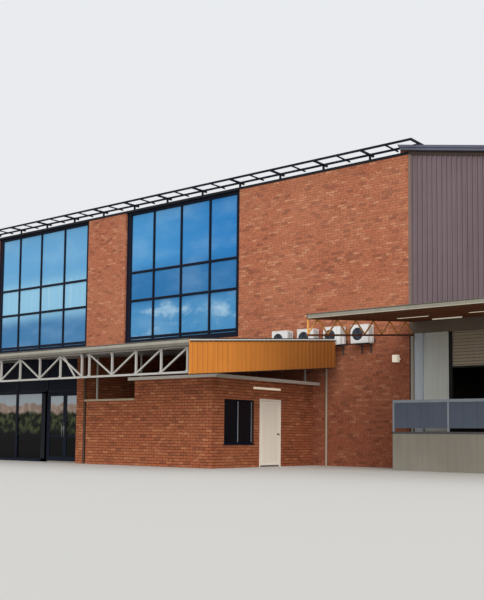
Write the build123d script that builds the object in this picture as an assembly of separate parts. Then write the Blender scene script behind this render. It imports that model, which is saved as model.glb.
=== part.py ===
from build123d import *
from math import floor, hypot, radians, tan
import os

# Factory building: a two-storey brick office block with a steel canopy, a small
# brick annex and a shopfront in front, and a ribbed-metal warehouse end with a
# raised loading dock under its own awning.
# Millimetres, +Z up, +X to the right along the front, +Y into the building.
# The origin is the centre of the base of the brick corner at the right-hand end
# of the office front. Distances called "left" run from that corner's outer edge
# to the left, and those called "out" run forward from the office front face.

# Office block
WALL = 300
OFFICE_LENGTH = 23100
OFFICE_DEPTH = 14000
OFFICE_HEIGHT = 9750
OFFICE_ROOF_T = 60
OFFICE_ROOF_FALL = 2.0
ROOF_SIDE_LAP = 40
RIGHT_PANEL = 6800
WINDOW_WIDTHS = (5860, 6150)
PIER_WIDTH = 2190
GROUND_FLOOR_T = 40
UPPER_FLOOR_LEVEL = 4000
UPPER_FLOOR_T = 250

# Tall windows
WINDOW_SILL = 4450
REAR_WINDOW_HEAD_DROP = 800
BEAM_BOTTOM = 3400
HEAD_BEAM = 300
REVEAL = 90
FRAME_DEPTH = 120
FRAME_LEFT_JAMB = 250
FRAME_RIGHT_JAMB = 200
FRAME_SILL = 180
FRAME_HEAD = 130
FRAME_BAR = 70
FRAME_GROOVE = 40
BAR_PLACES = ((1487, 2930, 4373), (1635, 3185, 4675))
TRANSOMS = (4720, 6190, 7310)
GLASS_T = 24

# Edge trim and steel ladder frame on the roof edge
TRIM_T = 20
TRIM_HEIGHT = 80
LADDER_RIGHT_OVER = 400
LADDER_LEFT_INSET = 50
LADDER_BAYS = 13
LADDER_OUT = 550
LADDER_MID_IN = 50
LADDER_INNER_IN = 270
LADDER_GAP = 145
LADDER_BAR = 60
LADDER_LIGHT_BAR = 40

# Canopy along the office front
CANOPY_RIGHT_LEFT = 2360
CANOPY_OUT = 7330
CANOPY_EDGE_TOP = 3430
CANOPY_SLOPE = 5.07
CANOPY_SHEET_T = 60
CANOPY_NOTCH_LEFT = 5100
CANOPY_NOTCH_OUT = 500
GUTTER_WIDTH = 140
GUTTER_HEIGHT = 168
GUTTER_LIP = 10
GUTTER_SHEET = 6
SHEET_INTO_GUTTER = 40
TRUSS_WIDTH = 50
TRUSS_TOP_CHORD = 130
TRUSS_BOTTOM = 2560
TRUSS_BOTTOM_CHORD = 55
TRUSS_POST = 50
TRUSS_WEB = 40
TRUSS_PANEL = 960
TRUSS_END_INSET = 240
TRUSS_RIGHT_PANELS = 4
TRUSS_GAP = 322
TRUSS_LEFT_PANELS = 17
TRUSS_BRACE = (300, 820)
RAFTER_WIDTH = 75
RAFTER_DEPTH = 150
RAFTER_FROM_ANNEX_WALL = 140
SHOP_RAFTER_BAYS = 4
FASCIA_DEPTH = 930
FASCIA_SHEET = 20
FASCIA_RIB = 20
FASCIA_RIB_PITCH = 200
FASCIA_RIB_BASE = 46
FASCIA_RIB_TOP = 24
POST = 45
REAR_POST_FROM_NOTCH = 140

# Annex room
ANNEX_RIGHT_LEFT = 3590
ANNEX_WIDTH = 3160
ANNEX_OUT = 5040
ANNEX_WALL = 230
ANNEX_HEIGHT = 2620
ANNEX_ROOF_T = 80
ANNEX_ROOF_OVER_LEFT = 190
ANNEX_ROOF_OVER_FRONT = 120
ANNEX_ROOF_OVER_RIGHT = 280
ANNEX_WINDOW_FROM_CORNER = 540
ANNEX_WINDOW_WIDTH = 1400
ANNEX_WINDOW_SILL = 700
ANNEX_WINDOW_HEAD = 2010
ANNEX_FRAME_BAR = 55
ANNEX_FRAME_DEPTH = 80
ANNEX_FRAME_SETBACK = 60
ANNEX_GLASS_T = 10
ANNEX_DOOR_FROM_CORNER = 2200
ANNEX_DOOR_WIDTH = 1060
ANNEX_DOOR_HEAD = 2070
DOOR_FRAME = 60
DOOR_FRAME_DEPTH = 120
DOOR_GAP = 8
DOOR_FLOOR_GAP = 8
DOOR_T = 42
HINGE_R = 8
HINGE_PLATE = 28
HINGE_PLATE_T = 3
HINGE_HEIGHT = 100
HINGE_PLAY = 0.3
HINGE_SIDES = 8
HINGE_LEVELS = (0.12, 0.5, 0.88)
KNOB_HEIGHT = 1000
KNOB_INSET = 70
KNOB_R = 28
KNOB_STEM_R = 11
KNOB_ROSE_T = 8
KNOB_REACH = 62
KNOB_GRIP_T = 28
KNOB_SIDES = 12

# Yard and shopfront
SCREEN_LEFT_END = 8970
SCREEN_HEIGHT = 2000
COPING_T = 60
COPING_OVER = 30
COPING_END_OVER = 85
YARD_POST_LEFT = 8596
SHOP_WALL_RIGHT_LEFT = 9130
SHOP_WALL = 320
SHOP_LINE_SETBACK = 340
SHOP_FRAME_DEPTH = 100
SHOP_FRAME_BAR = 60
SHOP_MULLION = 105
SHOP_HEAD = 2320
SHOP_DOOR_ZONE = 1850
SHOP_BAYS = 7
SHOP_GLASS_T = 12
SPANDREL_T = 60
LEAF_T = 45
LEAF_MEETING_GAP = 10
LEAF_STILE = 90
LEAF_MID_RAIL = 60
LEAF_MID_HEIGHT = 870
LEAF_BOTTOM_RAIL = 140

# Wall services
CONDENSERS = 4
CONDENSER_WIDTH = 640
CONDENSER_HEIGHT = 580
CONDENSER_DEPTH = 330
CONDENSER_PITCH = 1040
CONDENSER_FIRST_LEFT = 1200
CONDENSER_BOTTOM = 3870
CONDENSER_BACK_GAP = 120
CONDENSER_FAN_R = 200
CONDENSER_FAN_SHIFT = 70
CONDENSER_FAN_RECESS = 25
BRACKET_WIDTH = 40
BRACKET_T = 30
BRACKET_LEG = 300
BRACKET_INSET = 150
PIPE_R = 35
PIPE_WALL_LEFT = 3030
PIPE_WALL_TOP = 3700
PIPE_DOCK_RIGHT = 100
LAMP_LENGTH = 1300
LAMP_SIZE = 60
LAMP_HEIGHT = 2390
LAMP_FROM_CORNER = 1890
WALL_LIGHT_LEFT = 250
WALL_LIGHT_HEIGHT = 3230
WALL_LIGHT_SIZE = (170, 150, 220)
WALL_LIGHT_ARM = 180
WALL_LIGHT_ARM_SIZE = 40

# Warehouse end
CLAD_LENGTH = 7280
CLAD_T = 210
CLAD_RIB = 29
CLAD_RIB_PITCH = 165
CLAD_RIB_BASE = 60
CLAD_RIB_TOP = 32
WAREHOUSE_SLOPE = 11.4
WAREHOUSE_OVER_OFFICE = 100
WAREHOUSE_ROOF_T = 40
WAREHOUSE_ROOF_OVER = 60
CAP_OUT = 150
CAP_HEIGHT = 165
CAP_DROP = 25
CAP_LEFT_TOP = 330
CAP_LEFT_BOTTOM = 220
CAP_RIGHT_OVER = 120
WAREHOUSE_FLOOR_T = 200

# Loading dock and its awning
DOCK_LEVEL = 1100
DOCK_HEADER_BOTTOM = 4100
DOCK_HEADER_TOP = 4500
DOCK_WALL_SETBACK = 60
COLUMN_LEFT = 180
COLUMN_WIDTH = 270
COLUMN_PROUD = 20
DOOR_LEFT = 1390
GUIDE_WIDTH = 106
GUIDE_DEPTH = 100
GUIDE_SETBACK = 30
GUIDE_SLOT = 30
GUIDE_SLOT_DEPTH = 50
CURTAIN_BOTTOM = 3000
CURTAIN_T = 20
CURTAIN_SLAT = 95
CURTAIN_BULGE = 9
CURTAIN_FLAT = (0.3, 0.7)
CURTAIN_SIDE_PLAY = 8
PLATFORM_OUT = 1750
PLATFORM_LEFT = 405
PLATFORM_SLAB = 200
PLATFORM_WALL = 200
GUARD_POST = 50
GUARD_RAIL = 80
GUARD_BAYS = 4
GUARD_HEIGHT = 900
GUARD_PANEL_T = 12
GUARD_PANEL_GAP = 100
AWNING_LEFT = 90
AWNING_OUT = 5650
AWNING_EDGE_TOP = 4065
AWNING_SLOPE = 5.3
AWNING_T = 75
AWNING_GUTTER_HEIGHT = 105
AWNING_GUTTER_WIDTH = 60
AWNING_GUTTER_INSET = 80
AWNING_TRUSS_WIDTH = 60
AWNING_TRUSS_DEPTH = 485
AWNING_CHORD = 50
AWNING_WEB = 34
AWNING_VEES = 6
AWNING_LAMP_OUT = (550, 2620)
AWNING_LAMP_LENGTH = 900
AWNING_LAMP_FIRST = 1050
AWNING_LAMP_PITCH = 2130
AWNING_LAMPS_ACROSS = 3

# Reference planes worked out from the sizes above
ANNEX_DOOR_OUT = ANNEX_OUT - ANNEX_DOOR_FROM_CORNER
LAMP_OUT = ANNEX_OUT - LAMP_FROM_CORNER
SHOP_LINE_OUT = ANNEX_OUT - SHOP_LINE_SETBACK
REAR_WINDOW_HEAD = OFFICE_HEIGHT - REAR_WINDOW_HEAD_DROP
WAREHOUSE_EAVE_AT_CORNER = OFFICE_HEIGHT + WAREHOUSE_OVER_OFFICE
CORNER_X = WALL / 2
FACE_Y = -WALL / 2
INNER_Y = FACE_Y + WALL
REAR_Y = FACE_Y + OFFICE_DEPTH
REAR_INNER_Y = REAR_Y - WALL
OFFICE_LEFT_X = CORNER_X - OFFICE_LENGTH
OFFICE_LEFT_INNER_X = OFFICE_LEFT_X + WALL
PARTY_INNER_X = CORNER_X - WALL
WINDOW_LEFTS = (RIGHT_PANEL, RIGHT_PANEL + WINDOW_WIDTHS[0] + PIER_WIDTH)
FALL = tan(radians(OFFICE_ROOF_FALL))
CANOPY_RISE = tan(radians(CANOPY_SLOPE))
AWNING_RISE = tan(radians(AWNING_SLOPE))
WAREHOUSE_DROP = tan(radians(WAREHOUSE_SLOPE))
CANOPY_END_X = CORNER_X - CANOPY_RIGHT_LEFT
CANOPY_EDGE_Y = FACE_Y - CANOPY_OUT
GUTTER_BACK_Y = CANOPY_EDGE_Y + GUTTER_WIDTH
FASCIA_T = FASCIA_SHEET + FASCIA_RIB
CANOPY_INNER_X = CANOPY_END_X - FASCIA_T
CANOPY_LEFT_X = OFFICE_LEFT_X + FASCIA_T
TRUSS_BACK_Y = GUTTER_BACK_Y + TRUSS_WIDTH
WAREHOUSE_RIGHT_X = CORNER_X + CLAD_LENGTH
DOOR_RIGHT = CLAD_LENGTH - DOOR_LEFT
AWNING_LEFT_X = CORNER_X + AWNING_LEFT
AWNING_EDGE_Y = FACE_Y - AWNING_OUT
AWNING_INNER_Y = AWNING_EDGE_Y + AWNING_GUTTER_WIDTH


def left(distance):
    """X at a distance to the left of the office's outer corner."""
    return CORNER_X - distance


def out(distance):
    """Y at a distance in front of the office's front face."""
    return FACE_Y - distance


def block(x0, x1, y0, y1, z0, z1):
    """A box between two corners."""
    box = Box(abs(x1 - x0), abs(y1 - y0), abs(z1 - z0))
    return Pos((x0 + x1) / 2, (y0 + y1) / 2, (z0 + z1) / 2) * box


def prism_x(points, x0, x1):
    """A (Y, Z) outline carried from x0 to x1."""
    face = make_face(Polyline(*[(x0, y, z) for y, z in points], close=True))
    return extrude(face, amount=x1 - x0, dir=(1, 0, 0))


def prism_y(points, y0, y1):
    """An (X, Z) outline carried from y0 to y1."""
    face = make_face(Polyline(*[(x, y0, z) for x, z in points], close=True))
    return extrude(face, amount=y1 - y0, dir=(0, 1, 0))


def prism_z(points, z0, z1):
    """An (X, Y) outline carried from z0 to z1."""
    face = make_face(Polyline(*[(x, y, z0) for x, y in points], close=True))
    return extrude(face, amount=z1 - z0, dir=(0, 0, 1))


def bar_outline(start, end, width):
    """The four corners of a flat bar from start to end in a plane."""
    du = end[0] - start[0]
    dv = end[1] - start[1]
    length = hypot(du, dv)
    nu = -dv / length * width / 2
    nv = du / length * width / 2
    return [
        (start[0] + nu, start[1] + nv),
        (end[0] + nu, end[1] + nv),
        (end[0] - nu, end[1] - nv),
        (start[0] - nu, start[1] - nv),
    ]


def fuse(pieces):
    """One solid from pieces that touch or overlap."""
    whole = pieces[0]
    if len(pieces) > 1:
        whole = whole.fuse(*pieces[1:])
    return whole


def save(name, *shapes):
    """Write one node; several shapes are kept as separate solids."""
    solids = [solid for shape in shapes for solid in shape.solids()]
    export_step(Compound(solids), f"parts/{name}.step")


def canopy_top(y):
    """Height of the canopy sheet's top at a given Y."""
    return CANOPY_EDGE_TOP + (y - GUTTER_BACK_Y) * CANOPY_RISE


def canopy_under(y):
    return canopy_top(y) - CANOPY_SHEET_T


def awning_top(y):
    """Height of the dock awning's top at a given Y."""
    return AWNING_EDGE_TOP + (y - AWNING_EDGE_Y) * AWNING_RISE


def awning_under(y):
    return awning_top(y) - AWNING_T


def warehouse_under(x):
    """Underside of the warehouse roof, which falls to the right."""
    return WAREHOUSE_EAVE_AT_CORNER - (x - CORNER_X) * WAREHOUSE_DROP


def office_top(y):
    """Top of the office walls: level over the front wall, then falling to the rear."""
    return OFFICE_HEIGHT - max(0, y - INNER_Y) * FALL


def ribbed_edge(start, end, crest, pan, pitch, base, top):
    """Points of a ribbed sheet's outline from start to end; ribs stand on crest."""
    count = floor((end - start) / pitch)
    margin = ((end - start) - count * pitch) / 2
    points = [(start, pan)]
    for index in range(count):
        middle = start + margin + (index + 0.5) * pitch
        points.append((middle - base / 2, pan))
        points.append((middle - top / 2, crest))
        points.append((middle + top / 2, crest))
        points.append((middle + base / 2, pan))
    points.append((end, pan))
    return points


def open_gutter(edge_y, back_y, bottom, front_top, back_top, x0, x1):
    """A folded box gutter, open at the top, its outer face at edge_y."""
    sheet = GUTTER_SHEET
    return prism_x(
        [
            (edge_y, bottom),
            (back_y, bottom),
            (back_y, back_top),
            (back_y - sheet, back_top),
            (back_y - sheet, bottom + sheet),
            (edge_y + sheet, bottom + sheet),
            (edge_y + sheet, front_top),
            (edge_y, front_top),
        ],
        x0, x1)


def window_spans():
    """The two tall window openings as (left X, right X), the right-hand one first."""
    return [(left(first + width), left(first)) for first, width in zip(WINDOW_LEFTS, WINDOW_WIDTHS)]


def office_walls():
    corner_top = [
        (CORNER_X, warehouse_under(CORNER_X)),
        (PARTY_INNER_X, warehouse_under(PARTY_INNER_X)),
        (PARTY_INNER_X, OFFICE_HEIGHT),
    ]
    outline = [
        (left(RIGHT_PANEL), 0),
        (CORNER_X, 0),
        *corner_top,
        (left(RIGHT_PANEL), OFFICE_HEIGHT),
    ]
    save("front_wall", prism_y(outline, FACE_Y, INNER_Y))

    openings = window_spans()
    piers = [
        block(openings[1][1], openings[0][0], FACE_Y, INNER_Y, 0, OFFICE_HEIGHT),
        block(OFFICE_LEFT_X, openings[1][0], FACE_Y, INNER_Y, 0, OFFICE_HEIGHT),
        block(
            left(SHOP_WALL_RIGHT_LEFT + SHOP_WALL), left(RIGHT_PANEL),
            FACE_Y, INNER_Y, 0, BEAM_BOTTOM),
    ]
    save("front_piers", *piers)

    frame_back = FACE_Y + REVEAL + FRAME_DEPTH
    beams = []
    for x0, x1 in openings:
        beams.append(block(x0, x1, FACE_Y, INNER_Y, BEAM_BOTTOM, WINDOW_SILL))
        beams.append(block(x0, x1, frame_back, INNER_Y, OFFICE_HEIGHT - HEAD_BEAM, OFFICE_HEIGHT))
    save("window_beams", *beams)

    rear = prism_x(
        [
            (REAR_INNER_Y, 0),
            (REAR_Y, 0),
            (REAR_Y, office_top(REAR_Y)),
            (REAR_INNER_Y, office_top(REAR_INNER_Y)),
        ],
        OFFICE_LEFT_X, PARTY_INNER_X)
    for x0, x1 in openings:
        rear -= block(x0, x1, REAR_INNER_Y, REAR_Y, WINDOW_SILL, REAR_WINDOW_HEAD)
    save("rear_wall", rear)

    end_outline = [
        (INNER_Y, 0),
        (REAR_INNER_Y, 0),
        (REAR_INNER_Y, office_top(REAR_INNER_Y)),
        (INNER_Y, office_top(INNER_Y)),
    ]
    end_wall = prism_x(end_outline, OFFICE_LEFT_X, OFFICE_LEFT_INNER_X)
    party = prism_y(
        [
            (PARTY_INNER_X, 0),
            (CORNER_X, 0),
            (CORNER_X, warehouse_under(CORNER_X)),
            (PARTY_INNER_X, warehouse_under(PARTY_INNER_X)),
        ],
        INNER_Y, REAR_Y)
    save("end_walls", end_wall, party)


def office_floors_and_roof():
    right_in = PARTY_INNER_X
    save("upper_floor", block(
        OFFICE_LEFT_INNER_X, right_in, INNER_Y, REAR_INNER_Y,
        UPPER_FLOOR_LEVEL - UPPER_FLOOR_T, UPPER_FLOOR_LEVEL))

    shop_front = out(SHOP_LINE_OUT) + SHOP_FRAME_DEPTH / 2
    shop_right = left(SHOP_WALL_RIGHT_LEFT + SHOP_WALL)
    slabs = [block(OFFICE_LEFT_INNER_X, right_in, INNER_Y, REAR_INNER_Y, 0, GROUND_FLOOR_T)]
    slabs.append(block(OFFICE_LEFT_INNER_X, shop_right, shop_front, FACE_Y, 0, GROUND_FLOOR_T))
    for x0, x1 in window_spans():
        slabs.append(block(x0, min(x1, shop_right), FACE_Y, INNER_Y, 0, GROUND_FLOOR_T))
    door_zone_left = left(SHOP_WALL_RIGHT_LEFT + SHOP_WALL + SHOP_DOOR_ZONE)
    slabs.append(block(
        door_zone_left + SHOP_FRAME_BAR, shop_right - SHOP_FRAME_BAR,
        shop_front - SHOP_FRAME_DEPTH, shop_front, 0, GROUND_FLOOR_T))
    annex_inner_right = left(ANNEX_RIGHT_LEFT + ANNEX_WALL)
    annex = [
        block(
            left(ANNEX_RIGHT_LEFT + ANNEX_WIDTH - ANNEX_WALL), annex_inner_right,
            out(ANNEX_OUT - ANNEX_WALL), FACE_Y, 0, GROUND_FLOOR_T),
        block(
            annex_inner_right, left(ANNEX_RIGHT_LEFT),
            out(ANNEX_DOOR_OUT - DOOR_FRAME), out(ANNEX_DOOR_OUT - ANNEX_DOOR_WIDTH + DOOR_FRAME),
            0, GROUND_FLOOR_T),
    ]
    save("ground_floor", fuse(slabs), fuse(annex))

    y0 = FACE_Y
    y1 = REAR_Y + ROOF_SIDE_LAP
    roof = prism_x(
        [
            (y0, OFFICE_HEIGHT),
            (INNER_Y, OFFICE_HEIGHT),
            (y1, office_top(y1)),
            (y1, office_top(y1) + OFFICE_ROOF_T),
            (INNER_Y, OFFICE_HEIGHT + OFFICE_ROOF_T),
            (y0, OFFICE_HEIGHT + OFFICE_ROOF_T),
        ],
        OFFICE_LEFT_X - ROOF_SIDE_LAP, PARTY_INNER_X)
    save("office_roof", roof)
    save("roof_edge_trim", block(
        OFFICE_LEFT_X - ROOF_SIDE_LAP, CORNER_X, FACE_Y - TRIM_T, FACE_Y,
        OFFICE_HEIGHT + OFFICE_ROOF_T - TRIM_HEIGHT, OFFICE_HEIGHT + OFFICE_ROOF_T))


def window_grid(x0, x1, z1, y0, places):
    """A metal frame with its bars, grooved for one sheet of glass, and the sheet.
    places are the bars' middles as distances from the opening's right edge."""
    y1 = y0 + FRAME_DEPTH
    z0 = WINDOW_SILL
    clear_x0 = x0 + FRAME_LEFT_JAMB
    clear_x1 = x1 - FRAME_RIGHT_JAMB
    clear_z0 = z0 + FRAME_SILL
    clear_z1 = z1 - FRAME_HEAD
    ring = block(x0, x1, y0, y1, z0, z1) - block(clear_x0, clear_x1, y0, y1, clear_z0, clear_z1)
    bars = []
    for place in places:
        middle = x1 - place
        bars.append(block(middle - FRAME_BAR / 2, middle + FRAME_BAR / 2, y0, y1, z0, z1))
    for level in TRANSOMS:
        bars.append(block(x0, x1, y0, y1, level - FRAME_BAR / 2, level + FRAME_BAR / 2))
    middle_y = (y0 + y1) / 2
    glass = block(
        clear_x0 - FRAME_GROOVE, clear_x1 + FRAME_GROOVE, middle_y - GLASS_T / 2, middle_y + GLASS_T / 2,
        clear_z0 - FRAME_GROOVE, clear_z1 + FRAME_GROOVE)
    return fuse([ring, *bars]) - glass, glass


def tall_windows():
    frames = []
    sheets = []
    for (x0, x1), places in zip(window_spans(), BAR_PLACES):
        front = window_grid(x0, x1, OFFICE_HEIGHT, FACE_Y + REVEAL, places)
        rear = window_grid(x0, x1, REAR_WINDOW_HEAD, REAR_Y - REVEAL - FRAME_DEPTH, places)
        for frame, sheet in (front, rear):
            frames.append(frame)
            sheets.append(sheet)
    save("upper_window_frames", *frames)
    save("upper_glass", *sheets)


def roof_ladder():
    """A level steel ladder frame along the office's roof edge. Its rungs run on inwards,
    and each heavy one stands on a short post."""
    half = LADDER_BAR / 2
    x0 = OFFICE_LEFT_X + LADDER_LEFT_INSET
    x1 = CORNER_X + LADDER_RIGHT_OVER
    roof_top = OFFICE_HEIGHT + OFFICE_ROOF_T
    z0 = roof_top + LADDER_GAP
    z1 = z0 + LADDER_BAR
    rails = [
        block(x0, x1, centre - half, centre + half, z0, z1)
        for centre in (FACE_Y - LADDER_OUT, FACE_Y + LADDER_MID_IN)
    ]
    y0 = FACE_Y - LADDER_OUT
    middle_y = FACE_Y + LADDER_MID_IN
    y1 = FACE_Y + LADDER_INNER_IN
    pitch = (x1 - x0 - LADDER_BAR) / LADDER_BAYS
    members = []
    for index in range(LADDER_BAYS + 1):
        middle = x0 + half + index * pitch
        members.append(block(middle - half, middle + half, y0, y1, z0, z1))
        if index < LADDER_BAYS:
            light = middle + pitch / 2
            members.append(block(
                light - LADDER_LIGHT_BAR / 2, light + LADDER_LIGHT_BAR / 2, y0, y1,
                z0, z0 + LADDER_LIGHT_BAR))
            members.append(block(
                middle - half, middle + half, middle_y - half, middle_y + half, roof_top, z0))
    save("roof_frame", fuse([*rails, *members]))


def canopy_cover():
    x0 = CANOPY_LEFT_X
    x1 = CANOPY_INNER_X
    y0 = GUTTER_BACK_Y - SHEET_INTO_GUTTER
    sheet = prism_x(
        [
            (y0, canopy_under(y0)),
            (FACE_Y, canopy_under(FACE_Y)),
            (FACE_Y, canopy_top(FACE_Y)),
            (y0, canopy_top(y0)),
        ],
        x0, x1)
    notch = block(
        left(CANOPY_NOTCH_LEFT), x1, out(CANOPY_NOTCH_OUT), FACE_Y,
        canopy_under(GUTTER_BACK_Y), canopy_top(INNER_Y))
    save("canopy_roof", sheet - notch)


def gutters():
    """The canopy's gutter and the dock awning's."""
    top = CANOPY_EDGE_TOP + GUTTER_LIP
    back_top = canopy_under(GUTTER_BACK_Y - GUTTER_SHEET) - GUTTER_LIP
    canopy = open_gutter(
        CANOPY_EDGE_Y, GUTTER_BACK_Y, top - GUTTER_HEIGHT, top, back_top,
        CANOPY_LEFT_X, CANOPY_INNER_X)
    top = AWNING_EDGE_TOP
    awning = open_gutter(
        AWNING_EDGE_Y, AWNING_INNER_Y, top - AWNING_GUTTER_HEIGHT, top, top,
        AWNING_LEFT_X + AWNING_GUTTER_INSET, WAREHOUSE_RIGHT_X)
    save("gutters", canopy, awning)


def truss_side(nodes, tops, x_left, x_right):
    """A flat truss in an X-Z plane. nodes are its posts' X places from right to left,
    and tops says at which of them the web bars meet the top chord."""
    y0 = GUTTER_BACK_Y
    y1 = TRUSS_BACK_Y
    chord_top = canopy_under(y0)
    chord_low = chord_top - TRUSS_TOP_CHORD
    bottom_top = TRUSS_BOTTOM + TRUSS_BOTTOM_CHORD
    pieces = [
        block(x_left, x_right, y0, y1, chord_low, chord_top),
        block(x_left, x_right, y0, y1, TRUSS_BOTTOM, bottom_top),
    ]
    for x in nodes:
        pieces.append(block(x - TRUSS_POST / 2, x + TRUSS_POST / 2, y0, y1, TRUSS_BOTTOM, chord_top))
    web_y = (y0 + y1) / 2
    for index in range(len(nodes) - 1):
        z_first = chord_low if tops[index] else bottom_top
        z_next = chord_low if tops[index + 1] else bottom_top
        if tops[index] == tops[index + 1]:
            z_next = bottom_top if tops[index] else chord_low
        outline = bar_outline((nodes[index], z_first), (nodes[index + 1], z_next), TRUSS_WEB)
        pieces.append(prism_y(outline, web_y - TRUSS_WEB / 2, web_y + TRUSS_WEB / 2))
    return fuse(pieces)


def canopy_trusses():
    first = CANOPY_INNER_X - TRUSS_END_INSET + FASCIA_T
    right_nodes = [first - index * TRUSS_PANEL for index in range(TRUSS_RIGHT_PANELS + 1)]
    right_tops = [True, True, True, False, True]
    half = TRUSS_POST / 2
    right_truss = truss_side(right_nodes, right_tops, right_nodes[-1] - half, CANOPY_INNER_X)
    second = right_nodes[-1] - TRUSS_GAP
    far_end = CANOPY_LEFT_X + half
    left_nodes = [
        max(second - index * TRUSS_PANEL, far_end) for index in range(TRUSS_LEFT_PANELS + 1)]
    left_tops = [index % 2 == 1 for index in range(TRUSS_LEFT_PANELS + 1)]
    left_truss = truss_side(left_nodes, left_tops, CANOPY_LEFT_X, second + half)
    tie = block(
        second, right_nodes[-1], GUTTER_BACK_Y, TRUSS_BACK_Y, TRUSS_BOTTOM, TRUSS_BOTTOM + TRUSS_BOTTOM_CHORD)
    chord_low = canopy_under(GUTTER_BACK_Y) - TRUSS_TOP_CHORD
    web_y = (GUTTER_BACK_Y + TRUSS_BACK_Y) / 2
    brace = prism_y(
        bar_outline(
            (second - TRUSS_BRACE[1], chord_low),
            (second - TRUSS_BRACE[0], TRUSS_BOTTOM + TRUSS_BOTTOM_CHORD), TRUSS_WEB),
        web_y - TRUSS_WEB / 2, web_y + TRUSS_WEB / 2)
    save("canopy_truss", fuse([right_truss, left_truss, tie, brace]))
    return (right_nodes[-1] + second) / 2


def rafter(x, y0, y1):
    outline = [
        (y0, canopy_under(y0) - RAFTER_DEPTH),
        (y1, canopy_under(y1) - RAFTER_DEPTH),
        (y1, canopy_under(y1)),
        (y0, canopy_under(y0)),
    ]
    return prism_x(outline, x - RAFTER_WIDTH / 2, x + RAFTER_WIDTH / 2)


def post_to_rafter(x, y, foot):
    """A square post whose top is cut to a rafter's slope."""
    y0 = y - POST / 2
    y1 = y + POST / 2
    outline = [
        (y0, foot),
        (y1, foot),
        (y1, canopy_under(y1) - RAFTER_DEPTH),
        (y0, canopy_under(y0) - RAFTER_DEPTH),
    ]
    return prism_x(outline, x - POST / 2, x + POST / 2)


def canopy_frame():
    middle_x = canopy_trusses()
    end_x = left(ANNEX_RIGHT_LEFT) + RAFTER_FROM_ANNEX_WALL
    yard_x = left(YARD_POST_LEFT)
    rafters = [
        rafter(end_x, TRUSS_BACK_Y, out(CANOPY_NOTCH_OUT)),
        rafter(middle_x, TRUSS_BACK_Y, FACE_Y),
        rafter(yard_x, TRUSS_BACK_Y, FACE_Y),
    ]
    spandrel_face = out(SHOP_LINE_OUT) - SPANDREL_T / 2
    shop_right = left(SHOP_WALL_RIGHT_LEFT + SHOP_WALL)
    first = shop_right - RAFTER_WIDTH
    last = OFFICE_LEFT_INNER_X + RAFTER_WIDTH
    for index in range(SHOP_RAFTER_BAYS + 1):
        x = first + (last - first) * index / SHOP_RAFTER_BAYS
        rafters.append(rafter(x, TRUSS_BACK_Y, spandrel_face))
    save("canopy_rafters", *rafters)

    slab_top = ANNEX_HEIGHT + ANNEX_ROOF_T
    front_post_y = out(ANNEX_OUT) + ANNEX_WALL / 2
    posts = [
        post_to_rafter(end_x, out(CANOPY_NOTCH_OUT) - REAR_POST_FROM_NOTCH, slab_top),
        post_to_rafter(end_x, front_post_y, slab_top),
        post_to_rafter(middle_x, front_post_y, slab_top),
        post_to_rafter(yard_x, front_post_y, SCREEN_HEIGHT + COPING_T),
    ]
    save("canopy_posts", *posts)


def fascia(face_x, inward):
    """A vertical ribbed sheet that closes an end of the canopy, cut to its slope."""
    y0 = CANOPY_EDGE_Y
    y1 = out(CANOPY_NOTCH_OUT)
    crest = face_x
    pan = face_x + inward * FASCIA_RIB
    back = face_x + inward * FASCIA_T
    edge = ribbed_edge(
        y0, y1, crest, pan, FASCIA_RIB_PITCH, FASCIA_RIB_BASE, FASCIA_RIB_TOP)
    plan = [(x, y) for y, x in edge] + [(back, y1), (back, y0)]
    top = CANOPY_EDGE_TOP
    rise = (y1 - y0) * CANOPY_RISE
    sheet = prism_z(plan, top - FASCIA_DEPTH - FASCIA_RIB, top + rise + FASCIA_RIB)
    outline = [
        (y0, top - FASCIA_DEPTH),
        (y1, top - FASCIA_DEPTH + rise),
        (y1, top + rise),
        (y0, top),
    ]
    return sheet & prism_x(outline, min(crest, back), max(crest, back))


def canopy_ends():
    save("canopy_fascias", fascia(CANOPY_END_X, -1), fascia(OFFICE_LEFT_X, 1))


def knuckle(x, y, z0, z1, plate):
    """A hinge barrel about (x, y) with its flat plate, given as a box in plan."""
    barrel = Pos(x, y, z0) * extrude(RegularPolygon(HINGE_R, HINGE_SIDES), z1 - z0)
    return fuse([barrel, block(*plate, z0, z1)])


def hinge_set(x, y, frame_plate, leaf_plate, z_low, z_high):
    """Hinges up a door: each leaf barrel stands on a frame barrel, a hair above it."""
    on_frame = []
    on_leaf = []
    for share in HINGE_LEVELS:
        middle = z_low + (z_high - z_low) * share
        half = HINGE_HEIGHT / 2
        on_frame.append(knuckle(x, y, middle - half, middle - HINGE_PLAY / 2, frame_plate))
        on_leaf.append(knuckle(x, y, middle + HINGE_PLAY / 2, middle + half, leaf_plate))
    return on_frame, on_leaf


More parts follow.
